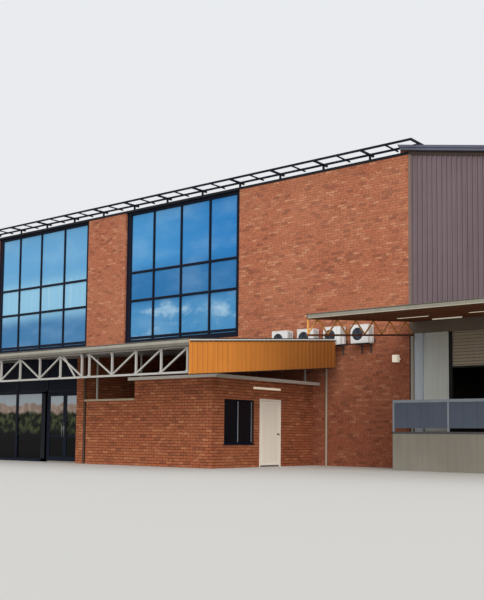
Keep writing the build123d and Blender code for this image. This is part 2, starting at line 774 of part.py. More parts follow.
def annex_room():
    x0 = left(ANNEX_RIGHT_LEFT + ANNEX_WIDTH)
    x1 = left(ANNEX_RIGHT_LEFT)
    y0 = out(ANNEX_OUT)
    front = block(x0, x1, y0, y0 + ANNEX_WALL, 0, ANNEX_HEIGHT)
    side = block(x0, x0 + ANNEX_WALL, y0 + ANNEX_WALL, FACE_Y, 0, ANNEX_HEIGHT)
    save("annex_walls", fuse([front, side]))

    door_y0 = out(ANNEX_DOOR_OUT)
    door_y1 = door_y0 + ANNEX_DOOR_WIDTH
    inner_x = x1 - ANNEX_WALL
    window_y0 = y0 + ANNEX_WINDOW_FROM_CORNER
    window_y1 = window_y0 + ANNEX_WINDOW_WIDTH
    window_wall = block(inner_x, x1, y0 + ANNEX_WALL, door_y0, 0, ANNEX_HEIGHT)
    window_wall -= block(
        inner_x, x1, window_y0, window_y1, ANNEX_WINDOW_SILL, ANNEX_WINDOW_HEAD)
    rear_part = block(inner_x, x1, door_y1, FACE_Y, 0, ANNEX_HEIGHT)
    save("annex_side_walls", window_wall, rear_part)
    save("annex_door_head", block(inner_x, x1, door_y0, door_y1, ANNEX_DOOR_HEAD, ANNEX_HEIGHT))
    save("annex_roof", block(
        x0 - ANNEX_ROOF_OVER_LEFT, x1 + ANNEX_ROOF_OVER_RIGHT, y0 - ANNEX_ROOF_OVER_FRONT, FACE_Y,
        ANNEX_HEIGHT, ANNEX_HEIGHT + ANNEX_ROOF_T))

    frame_x1 = x1 - ANNEX_FRAME_SETBACK
    frame_x0 = frame_x1 - ANNEX_FRAME_DEPTH
    bar = ANNEX_FRAME_BAR
    frame = block(frame_x0, frame_x1, window_y0, window_y1, ANNEX_WINDOW_SILL, ANNEX_WINDOW_HEAD)
    panes = []
    pane = (ANNEX_WINDOW_WIDTH - 3 * bar) / 2
    middle_x = (frame_x0 + frame_x1) / 2
    for index in range(2):
        pane_y0 = window_y0 + bar + index * (pane + bar)
        z0 = ANNEX_WINDOW_SILL + bar
        z1 = ANNEX_WINDOW_HEAD - bar
        frame -= block(frame_x0, frame_x1, pane_y0, pane_y0 + pane, z0, z1)
        panes.append(block(
            middle_x - ANNEX_GLASS_T / 2, middle_x + ANNEX_GLASS_T / 2,
            pane_y0, pane_y0 + pane, z0, z1))
    save("annex_window_frame", frame)
    save("annex_glass", *panes)

    frame_back = x1 - DOOR_FRAME_DEPTH
    opening_y0 = door_y0 + DOOR_FRAME
    opening_y1 = door_y1 - DOOR_FRAME
    opening_top = ANNEX_DOOR_HEAD - DOOR_FRAME
    door_frame = block(frame_back, x1, door_y0, door_y1, 0, ANNEX_DOOR_HEAD)
    door_frame -= block(frame_back, x1, opening_y0, opening_y1, 0, opening_top)
    leaf = block(
        x1 - DOOR_T, x1, opening_y0 + DOOR_GAP, opening_y1 - DOOR_GAP,
        GROUND_FLOOR_T + DOOR_FLOOR_GAP, opening_top - DOOR_GAP)
    hinge_x = x1 + HINGE_R
    hinge_y = opening_y0 + DOOR_GAP / 2
    on_frame, on_leaf = hinge_set(
        hinge_x, hinge_y,
        (x1, x1 + HINGE_PLATE_T, hinge_y - HINGE_PLATE, hinge_y),
        (x1, x1 + HINGE_PLATE_T, hinge_y, hinge_y + HINGE_PLATE),
        GROUND_FLOOR_T, opening_top)
    save("annex_door_frame", fuse([door_frame, *on_frame]))
    save("annex_door", fuse([leaf, *on_leaf]))
    knob_y = opening_y1 - DOOR_GAP - KNOB_INSET
    knobs = [knob(x1, knob_y, 1), knob(x1 - DOOR_T, knob_y, -1)]
    save("annex_door_knobs", *knobs)


def knob(x, y, direction):
    """A rose, a stem and a grip in line, standing off a door face."""
    spans = [
        (KNOB_R, 0, KNOB_ROSE_T),
        (KNOB_STEM_R, KNOB_ROSE_T, KNOB_REACH - KNOB_GRIP_T),
        (KNOB_R, KNOB_REACH - KNOB_GRIP_T, KNOB_REACH),
    ]
    pieces = []
    for radius, start, end in spans:
        place = Pos(x + direction * start, y, KNOB_HEIGHT) * Rot(0, 90 * direction, 0)
        pieces.append(place * extrude(RegularPolygon(radius, KNOB_SIDES), end - start))
    return fuse(pieces)


def yard():
    x0 = left(SCREEN_LEFT_END)
    x1 = left(ANNEX_RIGHT_LEFT + ANNEX_WIDTH)
    y0 = out(ANNEX_OUT)
    save("yard_screen_wall", block(x0, x1, y0, y0 + ANNEX_WALL, 0, SCREEN_HEIGHT))
    save("yard_coping", block(
        x0 - COPING_END_OVER, x1, y0 - COPING_OVER, y0 + ANNEX_WALL + COPING_OVER,
        SCREEN_HEIGHT, SCREEN_HEIGHT + COPING_T))


def shop_wall(x0, x1):
    y0 = out(ANNEX_OUT)
    outline = [(y0, 0), (FACE_Y, 0), (FACE_Y, canopy_under(FACE_Y)), (y0, canopy_under(y0))]
    return prism_x(outline, x0, x1)


def shopfront():
    right_x = left(SHOP_WALL_RIGHT_LEFT + SHOP_WALL)
    save(
        "shop_side_walls",
        shop_wall(right_x, right_x + SHOP_WALL),
        shop_wall(OFFICE_LEFT_X + FASCIA_T, OFFICE_LEFT_INNER_X))

    middle_y = out(SHOP_LINE_OUT)
    y0 = middle_y - SHOP_FRAME_DEPTH / 2
    y1 = middle_y + SHOP_FRAME_DEPTH / 2
    bar = SHOP_FRAME_BAR
    head_top = SHOP_HEAD + bar
    sp0 = middle_y - SPANDREL_T / 2
    sp1 = middle_y + SPANDREL_T / 2
    spandrel = prism_x(
        [(sp0, head_top), (sp1, head_top), (sp1, canopy_under(sp1)), (sp0, canopy_under(sp0))],
        OFFICE_LEFT_INNER_X, right_x)
    save("shop_spandrel", spandrel)

    door_left = right_x - SHOP_DOOR_ZONE
    door_frame = block(door_left, right_x, y0, y1, 0, head_top)
    door_frame -= block(door_left + bar, right_x - bar, y0, y1, 0, SHOP_HEAD)

    mullion = SHOP_MULLION
    bay = (door_left - OFFICE_LEFT_INNER_X - mullion) / SHOP_BAYS
    frame = block(OFFICE_LEFT_INNER_X, door_left, y0, y1, 0, head_top)
    panes = []
    for index in range(SHOP_BAYS):
        x0 = OFFICE_LEFT_INNER_X + mullion + index * bay
        x1 = x0 + bay - mullion
        z0 = GROUND_FLOOR_T + bar
        frame -= block(x0, x1, y0, y1, z0, SHOP_HEAD)
        panes.append(block(
            x0, x1, middle_y - SHOP_GLASS_T / 2, middle_y + SHOP_GLASS_T / 2, z0, SHOP_HEAD))
    save("shopfront_frame", frame)
    save("shop_glass", *panes)

    clear = SHOP_DOOR_ZONE - 2 * bar - 2 * DOOR_GAP - LEAF_MEETING_GAP
    leaf_width = clear / 2
    inner_right = right_x - bar - DOOR_GAP
    inner_left = door_left + bar + DOOR_GAP
    leaves = {
        "shop_door_right": (inner_right - leaf_width, inner_right, inner_right + DOOR_GAP / 2, 1),
        "shop_door_left": (inner_left, inner_left + leaf_width, inner_left - DOOR_GAP / 2, -1),
    }
    frame_parts = [door_frame]
    for name, (x0, x1, hinge_x, side) in leaves.items():
        leaf, sheet = glazed_leaf(x0, x1, y0)
        jamb_reach = sorted((hinge_x, hinge_x + side * HINGE_PLATE))
        leaf_reach = sorted((hinge_x, hinge_x - side * HINGE_PLATE))
        on_frame, on_leaf = hinge_set(
            hinge_x, y0 - HINGE_R,
            (*jamb_reach, y0 - HINGE_PLATE_T, y0),
            (*leaf_reach, y0 - HINGE_PLATE_T, y0),
            GROUND_FLOOR_T, SHOP_HEAD)
        frame_parts.extend(on_frame)
        save(name, fuse([leaf, *on_leaf]))
        save(f"{name}_glass", *sheet)
    save("shop_door_frame", fuse(frame_parts))


def glazed_leaf(x0, x1, y0):
    """A metal door leaf with two panes, its front face at y0."""
    z0 = GROUND_FLOOR_T + DOOR_FLOOR_GAP
    z1 = SHOP_HEAD - DOOR_GAP
    y1 = y0 + LEAF_T
    leaf = block(x0, x1, y0, y1, z0, z1)
    spans = [
        (z0 + LEAF_BOTTOM_RAIL, LEAF_MID_HEIGHT - LEAF_MID_RAIL / 2),
        (LEAF_MID_HEIGHT + LEAF_MID_RAIL / 2, z1 - LEAF_STILE),
    ]
    panes = []
    middle_y = (y0 + y1) / 2
    for low, high in spans:
        leaf -= block(x0 + LEAF_STILE, x1 - LEAF_STILE, y0, y1, low, high)
        panes.append(block(
            x0 + LEAF_STILE, x1 - LEAF_STILE,
            middle_y - SHOP_GLASS_T / 2, middle_y + SHOP_GLASS_T / 2, low, high))
    return leaf, panes


def condenser(x0):
    y1 = FACE_Y - CONDENSER_BACK_GAP
    y0 = y1 - CONDENSER_DEPTH
    z0 = CONDENSER_BOTTOM
    body = block(x0, x0 + CONDENSER_WIDTH, y0, y1, z0, z0 + CONDENSER_HEIGHT)
    fan_x = x0 + CONDENSER_WIDTH / 2 - CONDENSER_FAN_SHIFT
    fan_z = z0 + CONDENSER_HEIGHT / 2
    recess = Cylinder(CONDENSER_FAN_R, CONDENSER_FAN_RECESS * 2)
    return body - Pos(fan_x, y0, fan_z) * Rot(90, 0, 0) * recess


def bracket(x):
    """An L-shaped arm under a condenser, fixed to the wall."""
    y1 = FACE_Y
    y0 = y1 - CONDENSER_BACK_GAP - CONDENSER_DEPTH
    top = CONDENSER_BOTTOM
    outline = [
        (y1, top),
        (y0, top),
        (y0, top - BRACKET_T),
        (y1 - BRACKET_T, top - BRACKET_T),
        (y1 - BRACKET_T, top - BRACKET_LEG),
        (y1, top - BRACKET_LEG),
    ]
    return prism_x(outline, x - BRACKET_WIDTH / 2, x + BRACKET_WIDTH / 2)


def round_pipe(x, y, z0, z1):
    return Pos(x, y, (z0 + z1) / 2) * Cylinder(PIPE_R, z1 - z0)


def services():
    units = []
    arms = []
    for index in range(CONDENSERS):
        x0 = left(CONDENSER_FIRST_LEFT + CONDENSER_WIDTH + index * CONDENSER_PITCH)
        units.append(condenser(x0))
        arms.append(bracket(x0 + BRACKET_INSET))
        arms.append(bracket(x0 + CONDENSER_WIDTH - BRACKET_INSET))
    save("condensers", *units)
    save("condenser_brackets", *arms)

    wall_y = FACE_Y - PIPE_R
    pier_y = out(ANNEX_OUT) + PIPE_R
    pipes = [
        round_pipe(left(PIPE_WALL_LEFT), wall_y, 0, PIPE_WALL_TOP),
        round_pipe(CORNER_X + PIPE_DOCK_RIGHT, wall_y + DOCK_WALL_SETBACK, 0, DOCK_HEADER_BOTTOM),
        round_pipe(left(SHOP_WALL_RIGHT_LEFT) + PIPE_R, pier_y, 0, canopy_under(pier_y - PIPE_R)),
    ]
    save("downpipes", *pipes)

    wall_x = left(ANNEX_RIGHT_LEFT)
    lamps = [block(
        wall_x, wall_x + LAMP_SIZE, out(LAMP_OUT), out(LAMP_OUT - LAMP_LENGTH),
        LAMP_HEIGHT - LAMP_SIZE / 2, LAMP_HEIGHT + LAMP_SIZE / 2)]
    for distance in AWNING_LAMP_OUT:
        y0 = out(distance)
        y1 = y0 + LAMP_SIZE * 2
        outline = [
            (y0, awning_under(y0) - LAMP_SIZE),
            (y1, awning_under(y1) - LAMP_SIZE),
            (y1, awning_under(y1)),
            (y0, awning_under(y0)),
        ]
        for index in range(AWNING_LAMPS_ACROSS):
            x0 = CORNER_X + AWNING_LAMP_FIRST + index * AWNING_LAMP_PITCH
            lamps.append(prism_x(outline, x0, x0 + AWNING_LAMP_LENGTH))
    width, depth, height = WALL_LIGHT_SIZE
    x1 = left(WALL_LIGHT_LEFT)
    y1 = FACE_Y - WALL_LIGHT_ARM
    half = WALL_LIGHT_ARM_SIZE / 2
    arm_z = WALL_LIGHT_HEIGHT + height / 2
    head = block(x1 - width, x1, y1 - depth, y1, WALL_LIGHT_HEIGHT, WALL_LIGHT_HEIGHT + height)
    arm = block(x1 - width / 2 - half, x1 - width / 2 + half, y1, FACE_Y, arm_z - half, arm_z + half)
    save("wall_lights", *lamps, fuse([head, arm]))


def cladding():
    """Three ribbed walls, each a sheet with ribs outside and a flat inner face."""
    x0 = CORNER_X
    x1 = WAREHOUSE_RIGHT_X
    pan = FACE_Y + CLAD_RIB
    edge = ribbed_edge(x0, x1, FACE_Y, pan, CLAD_RIB_PITCH, CLAD_RIB_BASE, CLAD_RIB_TOP)
    plan = edge + [(x1, FACE_Y + CLAD_T), (x0, FACE_Y + CLAD_T)]
    tall = WAREHOUSE_EAVE_AT_CORNER + WALL
    slope_cut = [
        (x0, 0),
        (x1, 0),
        (x1, warehouse_under(x1)),
        (x0, warehouse_under(x0)),
    ]
    front = prism_z(plan, DOCK_HEADER_TOP, tall) & prism_y(slope_cut, FACE_Y, FACE_Y + CLAD_T)
    save("clad_front", front)

    rear_edge = ribbed_edge(
        x0, x1, REAR_Y, REAR_Y - CLAD_RIB, CLAD_RIB_PITCH, CLAD_RIB_BASE, CLAD_RIB_TOP)
    rear_plan = rear_edge + [(x1, REAR_Y - CLAD_T), (x0, REAR_Y - CLAD_T)]
    rear = prism_z(rear_plan, 0, tall) & prism_y(slope_cut, REAR_Y - CLAD_T, REAR_Y)
    save("clad_rear", rear)

    y0 = FACE_Y + CLAD_T
    y1 = REAR_Y - CLAD_T
    side_edge = ribbed_edge(
        y0, y1, x1, x1 - CLAD_RIB, CLAD_RIB_PITCH, CLAD_RIB_BASE, CLAD_RIB_TOP)
    side_plan = [(x, y) for y, x in side_edge] + [(x1 - CLAD_T, y1), (x1 - CLAD_T, y0)]
    side = prism_z(side_plan, 0, tall) & prism_y(
        [
            (x1 - CLAD_T, 0),
            (x1, 0),
            (x1, warehouse_under(x1)),
            (x1 - CLAD_T, warehouse_under(x1 - CLAD_T)),
        ],
        y0, y1)
    save("clad_side", side)


def warehouse_cover():
    x0 = PARTY_INNER_X
    x1 = WAREHOUSE_RIGHT_X + WAREHOUSE_ROOF_OVER
    sheet = prism_y(
        [
            (x0, warehouse_under(x0)),
            (x1, warehouse_under(x1)),
            (x1, warehouse_under(x1) + WAREHOUSE_ROOF_T),
            (x0, warehouse_under(x0) + WAREHOUSE_ROOF_T),
        ],
        FACE_Y, REAR_Y)
    save("warehouse_roof", sheet)

    right = WAREHOUSE_RIGHT_X + CAP_RIGHT_OVER
    top_left = CORNER_X - CAP_LEFT_TOP
    low_left = CORNER_X - CAP_LEFT_BOTTOM
    outline = [
        (top_left, warehouse_under(top_left) - CAP_DROP + CAP_HEIGHT),
        (low_left, warehouse_under(low_left) - CAP_DROP),
        (right, warehouse_under(right) - CAP_DROP),
        (right, warehouse_under(right) - CAP_DROP + CAP_HEIGHT),
    ]
    caps = [
        prism_y(outline, FACE_Y - CAP_OUT, FACE_Y),
        prism_y(outline, REAR_Y, REAR_Y + CAP_OUT),
    ]
    save("verge_cap", *caps)

    save("warehouse_floor", block(
        CORNER_X, WAREHOUSE_RIGHT_X - CLAD_T, FACE_Y + CLAD_T, REAR_Y - CLAD_T,
        DOCK_LEVEL - WAREHOUSE_FLOOR_T, DOCK_LEVEL))


def dock_front():
    wall_y0 = FACE_Y + DOCK_WALL_SETBACK
    wall_y1 = FACE_Y + CLAD_T
    column_right = COLUMN_LEFT + COLUMN_WIDTH
    guide_left = DOOR_LEFT - GUIDE_WIDTH
    spans = [(0, COLUMN_LEFT), (column_right, guide_left)]
    panels = []
    for low, high in spans:
        for x0, x1 in ((low, high), (CLAD_LENGTH - high, CLAD_LENGTH - low)):
            panels.append(block(
                CORNER_X + x0, CORNER_X + x1, wall_y0, wall_y1, 0, DOCK_HEADER_BOTTOM))
    panels.append(block(
        CORNER_X + guide_left, CORNER_X + CLAD_LENGTH - guide_left,
        wall_y0, wall_y1, 0, DOCK_LEVEL))
    save("dock_panels", *panels)

    columns = []
    for x0 in (COLUMN_LEFT, CLAD_LENGTH - column_right):
        columns.append(block(
            CORNER_X + x0, CORNER_X + x0 + COLUMN_WIDTH,
            FACE_Y - COLUMN_PROUD, wall_y1, 0, DOCK_HEADER_BOTTOM))
    save("dock_columns", *columns)
    save("dock_header", block(
        CORNER_X, WAREHOUSE_RIGHT_X, FACE_Y, wall_y1, DOCK_HEADER_BOTTOM, DOCK_HEADER_TOP))

    guide_y0 = FACE_Y + GUIDE_SETBACK
    guide_y1 = guide_y0 + GUIDE_DEPTH
    slot_y = (guide_y0 + guide_y1) / 2
    guides = []
    for edge, inward in ((DOOR_LEFT, -1), (DOOR_RIGHT, 1)):
        x_edge = CORNER_X + edge
        guide = block(
            x_edge, x_edge + inward * GUIDE_WIDTH, guide_y0, guide_y1, DOCK_LEVEL, DOCK_HEADER_BOTTOM)
        guide -= block(
            x_edge, x_edge + inward * GUIDE_SLOT_DEPTH,
            slot_y - GUIDE_SLOT / 2, slot_y + GUIDE_SLOT / 2, DOCK_LEVEL, DOCK_HEADER_BOTTOM)
        guides.append(guide)
    save("shutter_guides", *guides)

    reach = GUIDE_SLOT_DEPTH - CURTAIN_SIDE_PLAY
    slats = round((DOCK_HEADER_BOTTOM - CURTAIN_BOTTOM) / CURTAIN_SLAT)
    pitch = (DOCK_HEADER_BOTTOM - CURTAIN_BOTTOM) / slats
    front_y = slot_y - CURTAIN_T / 2
    back_y = slot_y + CURTAIN_T / 2
    front = []
    for index in range(slats):
        z = CURTAIN_BOTTOM + index * pitch
        front.append((front_y + CURTAIN_BULGE, z))
        for share in CURTAIN_FLAT:
            front.append((front_y, z + pitch * share))
    front.append((front_y + CURTAIN_BULGE, DOCK_HEADER_BOTTOM))
    outline = front + [(back_y, DOCK_HEADER_BOTTOM), (back_y, CURTAIN_BOTTOM)]
    save("shutter_curtain", prism_x(outline, CORNER_X + DOOR_LEFT - reach, CORNER_X + DOOR_RIGHT + reach))


def dock_platform():
    x0 = CORNER_X + PLATFORM_LEFT
    x1 = WAREHOUSE_RIGHT_X
    y0 = out(PLATFORM_OUT)
    y1 = FACE_Y - COLUMN_PROUD
    platform = block(x0, x1, y0, y1, 0, DOCK_LEVEL)
    platform -= block(
        x0 + PLATFORM_WALL, x1 - PLATFORM_WALL, y0 + PLATFORM_WALL, y1, 0, DOCK_LEVEL - PLATFORM_SLAB)
    save("dock_platform", platform)

    post = GUARD_POST
    top = DOCK_LEVEL + GUARD_HEIGHT
    rail_y = y0 + post / 2
    pieces = [block(x0, x1, y0, y0 + post, top - GUARD_RAIL, top)]
    pitch = (x1 - x0 - post) / GUARD_BAYS
    for index in range(GUARD_BAYS + 1):
        x = x0 + index * pitch
        pieces.append(block(x, x + post, y0, y0 + post, DOCK_LEVEL, top))
        if index < GUARD_BAYS:
            pieces.append(block(
                x + post, x + pitch, rail_y - GUARD_PANEL_T / 2, rail_y + GUARD_PANEL_T / 2,
                DOCK_LEVEL + GUARD_PANEL_GAP, top - GUARD_RAIL))
    save("dock_guard", fuse(pieces))


def awning_truss(x0):
    """Chords and a zigzag web in a Y-Z plane, following the awning's slope."""
    x1 = x0 + AWNING_TRUSS_WIDTH
    y0 = AWNING_INNER_Y
    y1 = FACE_Y - COLUMN_PROUD
    depth = AWNING_TRUSS_DEPTH
    chord = AWNING_CHORD

    def strip(drop_top, drop_low):
        return prism_x(
            [
                (y0, awning_under(y0) - drop_low),
                (y1, awning_under(y1) - drop_low),
                (y1, awning_under(y1) - drop_top),
                (y0, awning_under(y0) - drop_top),
            ],
            x0, x1)

    chords = [strip(0, chord), strip(depth - chord, depth)]
    web_x0 = x0 + (AWNING_TRUSS_WIDTH - AWNING_WEB) / 2
    web_x1 = web_x0 + AWNING_WEB
    step = (y1 - y0) / (2 * AWNING_VEES)
    bars = []
    for index in range(2 * AWNING_VEES):
        ya = y0 + index * step
        yb = ya + step
        low_first = index % 2 == 0
        za = awning_under(ya) - (depth - chord if low_first else chord)
        zb = awning_under(yb) - (chord if low_first else depth - chord)
        bars.append(prism_x(bar_outline((ya, za), (yb, zb), AWNING_WEB), web_x0, web_x1))
    end = block(
        web_x0, web_x1, y0, y0 + chord, awning_under(y0) - depth, awning_under(y0))
    gap = strip(chord, depth - chord)
    web = fuse([*bars, end]) & gap
    return chords, web


def dock_awning():
    x0 = AWNING_LEFT_X
    x1 = WAREHOUSE_RIGHT_X
    y0 = AWNING_INNER_Y
    roof = prism_x(
        [
            (y0, awning_under(y0)),
            (FACE_Y, awning_under(FACE_Y)),
            (FACE_Y, awning_top(FACE_Y)),
            (y0, awning_top(y0)),
        ],
        x0, x1)
    save("awning_roof", roof)
    chords = []
    webs = []
    for start in (x0, x1 - AWNING_TRUSS_WIDTH):
        pair, web = awning_truss(start)
        chords.extend(pair)
        webs.append(web)
    save("awning_chords", *chords)
    save("awning_webs", *webs)


def main():
    os.makedirs("parts", exist_ok=True)
    office_walls()
    office_floors_and_roof()
    tall_windows()
    roof_ladder()
    canopy_cover()
    gutters()
    canopy_frame()
    canopy_ends()
    annex_room()
    yard()
    shopfront()
    services()
    cladding()
    warehouse_cover()
    dock_front()
    dock_platform()
    dock_awning()


main()
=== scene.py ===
import bmesh
import bpy
import numpy as np
from functools import partial
from math import ceil, cos, floor, pi, radians, sin, tan
from mathutils import Matrix, Vector


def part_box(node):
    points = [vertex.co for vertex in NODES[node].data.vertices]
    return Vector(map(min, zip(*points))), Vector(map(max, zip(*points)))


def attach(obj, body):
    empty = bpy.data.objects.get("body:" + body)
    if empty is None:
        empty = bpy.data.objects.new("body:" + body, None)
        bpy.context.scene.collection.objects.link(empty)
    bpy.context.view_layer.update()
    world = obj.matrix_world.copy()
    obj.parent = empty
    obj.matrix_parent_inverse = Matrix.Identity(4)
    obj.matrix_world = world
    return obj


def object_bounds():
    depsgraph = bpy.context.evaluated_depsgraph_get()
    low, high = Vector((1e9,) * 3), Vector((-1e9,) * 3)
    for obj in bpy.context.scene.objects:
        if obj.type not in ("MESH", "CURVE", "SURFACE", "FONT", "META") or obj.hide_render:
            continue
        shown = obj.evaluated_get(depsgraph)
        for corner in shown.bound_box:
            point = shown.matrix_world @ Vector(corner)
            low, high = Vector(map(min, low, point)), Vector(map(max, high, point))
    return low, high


# The looks of a brick factory building, in metres, in the frame of its solids:
# +X to the right along the front, +Y into the building, +Z up.

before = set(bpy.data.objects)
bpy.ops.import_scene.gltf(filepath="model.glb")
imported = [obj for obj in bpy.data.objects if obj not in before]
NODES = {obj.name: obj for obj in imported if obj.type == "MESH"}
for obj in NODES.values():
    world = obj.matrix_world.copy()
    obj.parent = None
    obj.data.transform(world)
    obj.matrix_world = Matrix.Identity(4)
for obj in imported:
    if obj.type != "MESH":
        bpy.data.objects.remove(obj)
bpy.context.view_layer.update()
FIXED = "building"
FRONT, REAR, LEFT, RIGHT = (0, -1, 0), (0, 1, 0), (-1, 0, 0), (1, 0, 0)

# Brickwork. A bond is its bed joint, its head joint, and the least and most that a brick
# stands out from the mortar.
COURSE = 0.086
BRICK_PITCH = 0.240
OFFICE_BOND = (0.012, 0.009, 0.002, 0.004)
ANNEX_BOND = (0.015, 0.012, 0.004, 0.007)
BRICK_ROOT = 0.004
SMALLEST_CUT = 0.012
SEED = 4004

# Corrugated roof sheets, how far the canopy's lie over its plane, and the corner that is
# cut out of them at the right, beside the wall
SHEET_PITCH = 0.076
SHEET_WAVE = 0.018
SHEET_METAL = 0.002
STEPS_PER_WAVE = 8
CANOPY_LIFT = 0.022
CANOPY_NOTCH = (-4.95, -0.65)
CANOPY_SLOPE = 5.07
WAREHOUSE_SLOPE = 11.4

# Faces of the office's front and rear walls
FRONT_FACE = -0.15
REAR_FACE = 13.85

# Tall windows: bars measured from each opening's right edge, levels from the ground, and
# where the brick pier between them lies
WINDOW_BARS = ((1.635, 3.185, 4.675), (1.487, 2.930, 4.373))
WINDOW_LEVELS = (4.72, 6.19, 7.31)
WINDOW_PIER = (-14.6, -13.0)
WINDOW_BAR = 0.070
LEFT_JAMB = 0.250
RIGHT_JAMB = 0.200
WINDOW_SILL = 0.180
WINDOW_HEAD = 0.130
BEAD = 0.014

# Canopy truss, with its posts counted from the right
TRUSS_FIRST = 0.200
TRUSS_PANEL = 0.960
TRUSS_RIGHT_PANELS = 4
TRUSS_GAP = 0.322
TRUSS_LEFT_PANELS = 16

# Shopfront
SHOP_BAYS = 7
DOORS_MEET = -10.225
SPANDREL_HEAD = 3.57

# Condensers: the fan's place, and the radii of its grille's wires
FAN_FROM_LEFT = 0.250
FAN_RECESS = 0.025
GRILLE_RADII = (0.035, 0.068, 0.101, 0.134, 0.167, 0.197)
GRILLE_WIRE = 0.003
BLADE_SWEEP = 1.25

# The photograph's camera, fitted to the building's straight edges
CAMERA_PLACE = (13.65, -24.76, 0.935)
CAMERA_YAW = 38.82
CAMERA_PITCH = 4.40
CAMERA_ROLL = 0.555
PHOTO_SIZE = (484, 600)
FOCAL_PIXELS = 907.5
CENTRE_PIXEL = (248.98, 366.2)


# Shapes

def add_object(name, data):
    """A new object in the scene."""
    made = bpy.data.objects.new(name, data)
    bpy.context.scene.collection.objects.link(made)
    return made


def make_object(name, mesh, material, body=FIXED):
    """Put a finished mesh into the scene, riding on a body of the building."""
    piece = add_object(name, mesh)
    mesh.materials.append(material)
    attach(piece, body)


def quad_mesh(name, points, quads):
    """A mesh with flat faces from an (n, 3) array of points and an (m, 4) array of their numbers."""
    mesh = bpy.data.meshes.new(name)
    mesh.vertices.add(len(points))
    mesh.vertices.foreach_set("co", np.asarray(points, np.float32).ravel())
    mesh.loops.add(quads.size)
    mesh.loops.foreach_set("vertex_index", quads.astype(np.int32).ravel())
    mesh.polygons.add(len(quads))
    mesh.polygons.foreach_set("loop_start", np.arange(0, quads.size, 4, dtype=np.int32))
    mesh.update(calc_edges=True)
    mesh.shade_flat()
    return mesh


def grid_quads(number):
    """The quads between the rows and columns of a grid of point numbers."""
    return np.stack([number[:-1, :-1], number[:-1, 1:], number[1:, 1:], number[1:, :-1]], -1).reshape(-1, 4)


def box_arrays(lows, highs):
    """Closed boxes between two (n, 3) arrays of corners: 8 points and 6 quads each."""
    lows = np.atleast_2d(np.asarray(lows, float))
    highs = np.atleast_2d(np.asarray(highs, float))
    pick = np.array([
        [0, 0, 0], [1, 0, 0], [1, 1, 0], [0, 1, 0],
        [0, 0, 1], [1, 0, 1], [1, 1, 1], [0, 1, 1]])
    points = lows[:, None, :] + pick[None] * (highs - lows)[:, None, :]
    sides = np.array([
        [0, 3, 2, 1], [4, 5, 6, 7], [0, 1, 5, 4], [1, 2, 6, 5], [2, 3, 7, 6], [3, 0, 4, 7]])
    quads = sides[None] + 8 * np.arange(len(lows))[:, None, None]
    return points.reshape(-1, 3), quads.reshape(-1, 4)


def join_arrays(parts):
    """Several (points, quads) pairs as one."""
    before = np.cumsum([0] + [len(points) for points, _ in parts[:-1]])
    quads = [quads + count for (_, quads), count in zip(parts, before)]
    return np.concatenate([points for points, _ in parts]), np.concatenate(quads)


def shell_arrays(top, bottom):
    """A closed solid between two (rows, columns, 3) grids: both grids, and quads round the rim."""
    rows, columns = top.shape[:2]
    number = np.arange(rows * columns).reshape(rows, columns)
    low = number + rows * columns
    rim = np.concatenate([number[0], number[1:, -1], number[-1, -2::-1], number[-2:0:-1, 0]])
    rim_low = rim + rows * columns
    around = np.stack([rim, rim_low, np.roll(rim_low, -1), np.roll(rim, -1)], -1)
    quads = np.concatenate([grid_quads(number), grid_quads(low)[:, ::-1], around])
    return np.concatenate([top.reshape(-1, 3), bottom.reshape(-1, 3)]), quads


def bar_arrays(start, end, width, height):
    """A closed bar of width by height along the line from start to end: a box laid along
    the line, with its width level and its height upward."""
    start = np.asarray(start, float)
    end = np.asarray(end, float)
    length = np.linalg.norm(end - start)
    along = (end - start) / length
    side = np.cross(along, (0, 0, 1))
    side = side / np.linalg.norm(side)
    rise = np.cross(side, along)
    points, quads = box_arrays((0, -width / 2, -height / 2), (length, width / 2, height / 2))
    return points @ np.stack([along, -side, rise]) + start, quads


def on_plane(arrays, top_at):
    """Shapes drawn over a flat ground, lifted so that z counts from a roof plane."""
    points, quads = arrays
    lifted = points.copy()
    lifted[:, 2] += top_at(points[:, 0], points[:, 1])
    return lifted, quads


def wave_sheet(x_span, y_span, top_at, across, lift=0.001):
    """A corrugated sheet over a roof plane. Its height is the plane's height plus a lift, plus
    half the wave's depth times one minus the cosine of two pi times the distance across over
    the pitch. Across is 0 where the waves follow each other in X, and 1 in Y."""
    run = (x_span, y_span)[across]
    count = ceil((run[1] - run[0]) / SHEET_PITCH * STEPS_PER_WAVE) + 1
    over = np.linspace(run[0], run[1], count)
    wave = lift + SHEET_WAVE / 2 * (1 - np.cos(2 * pi * (over - run[0]) / SHEET_PITCH))
    x, y = (over, np.array(y_span)) if across == 0 else (np.array(x_span), over)
    grid_x, grid_y = np.meshgrid(x, y)
    rise = wave[None, :] if across == 0 else wave[:, None]
    top = np.stack([grid_x, grid_y, top_at(grid_x, grid_y) + rise], -1)
    return shell_arrays(top, top - (0, 0, SHEET_METAL))


def axes_across(direction):
    """Two directions of length one, across a third and across each other."""
    helper = (0.0, 0.0, 1.0) if abs(direction[2]) < 0.9 else (1.0, 0.0, 0.0)
    first = np.cross(helper, direction)
    first = first / np.linalg.norm(first)
    return first, np.cross(direction, first)


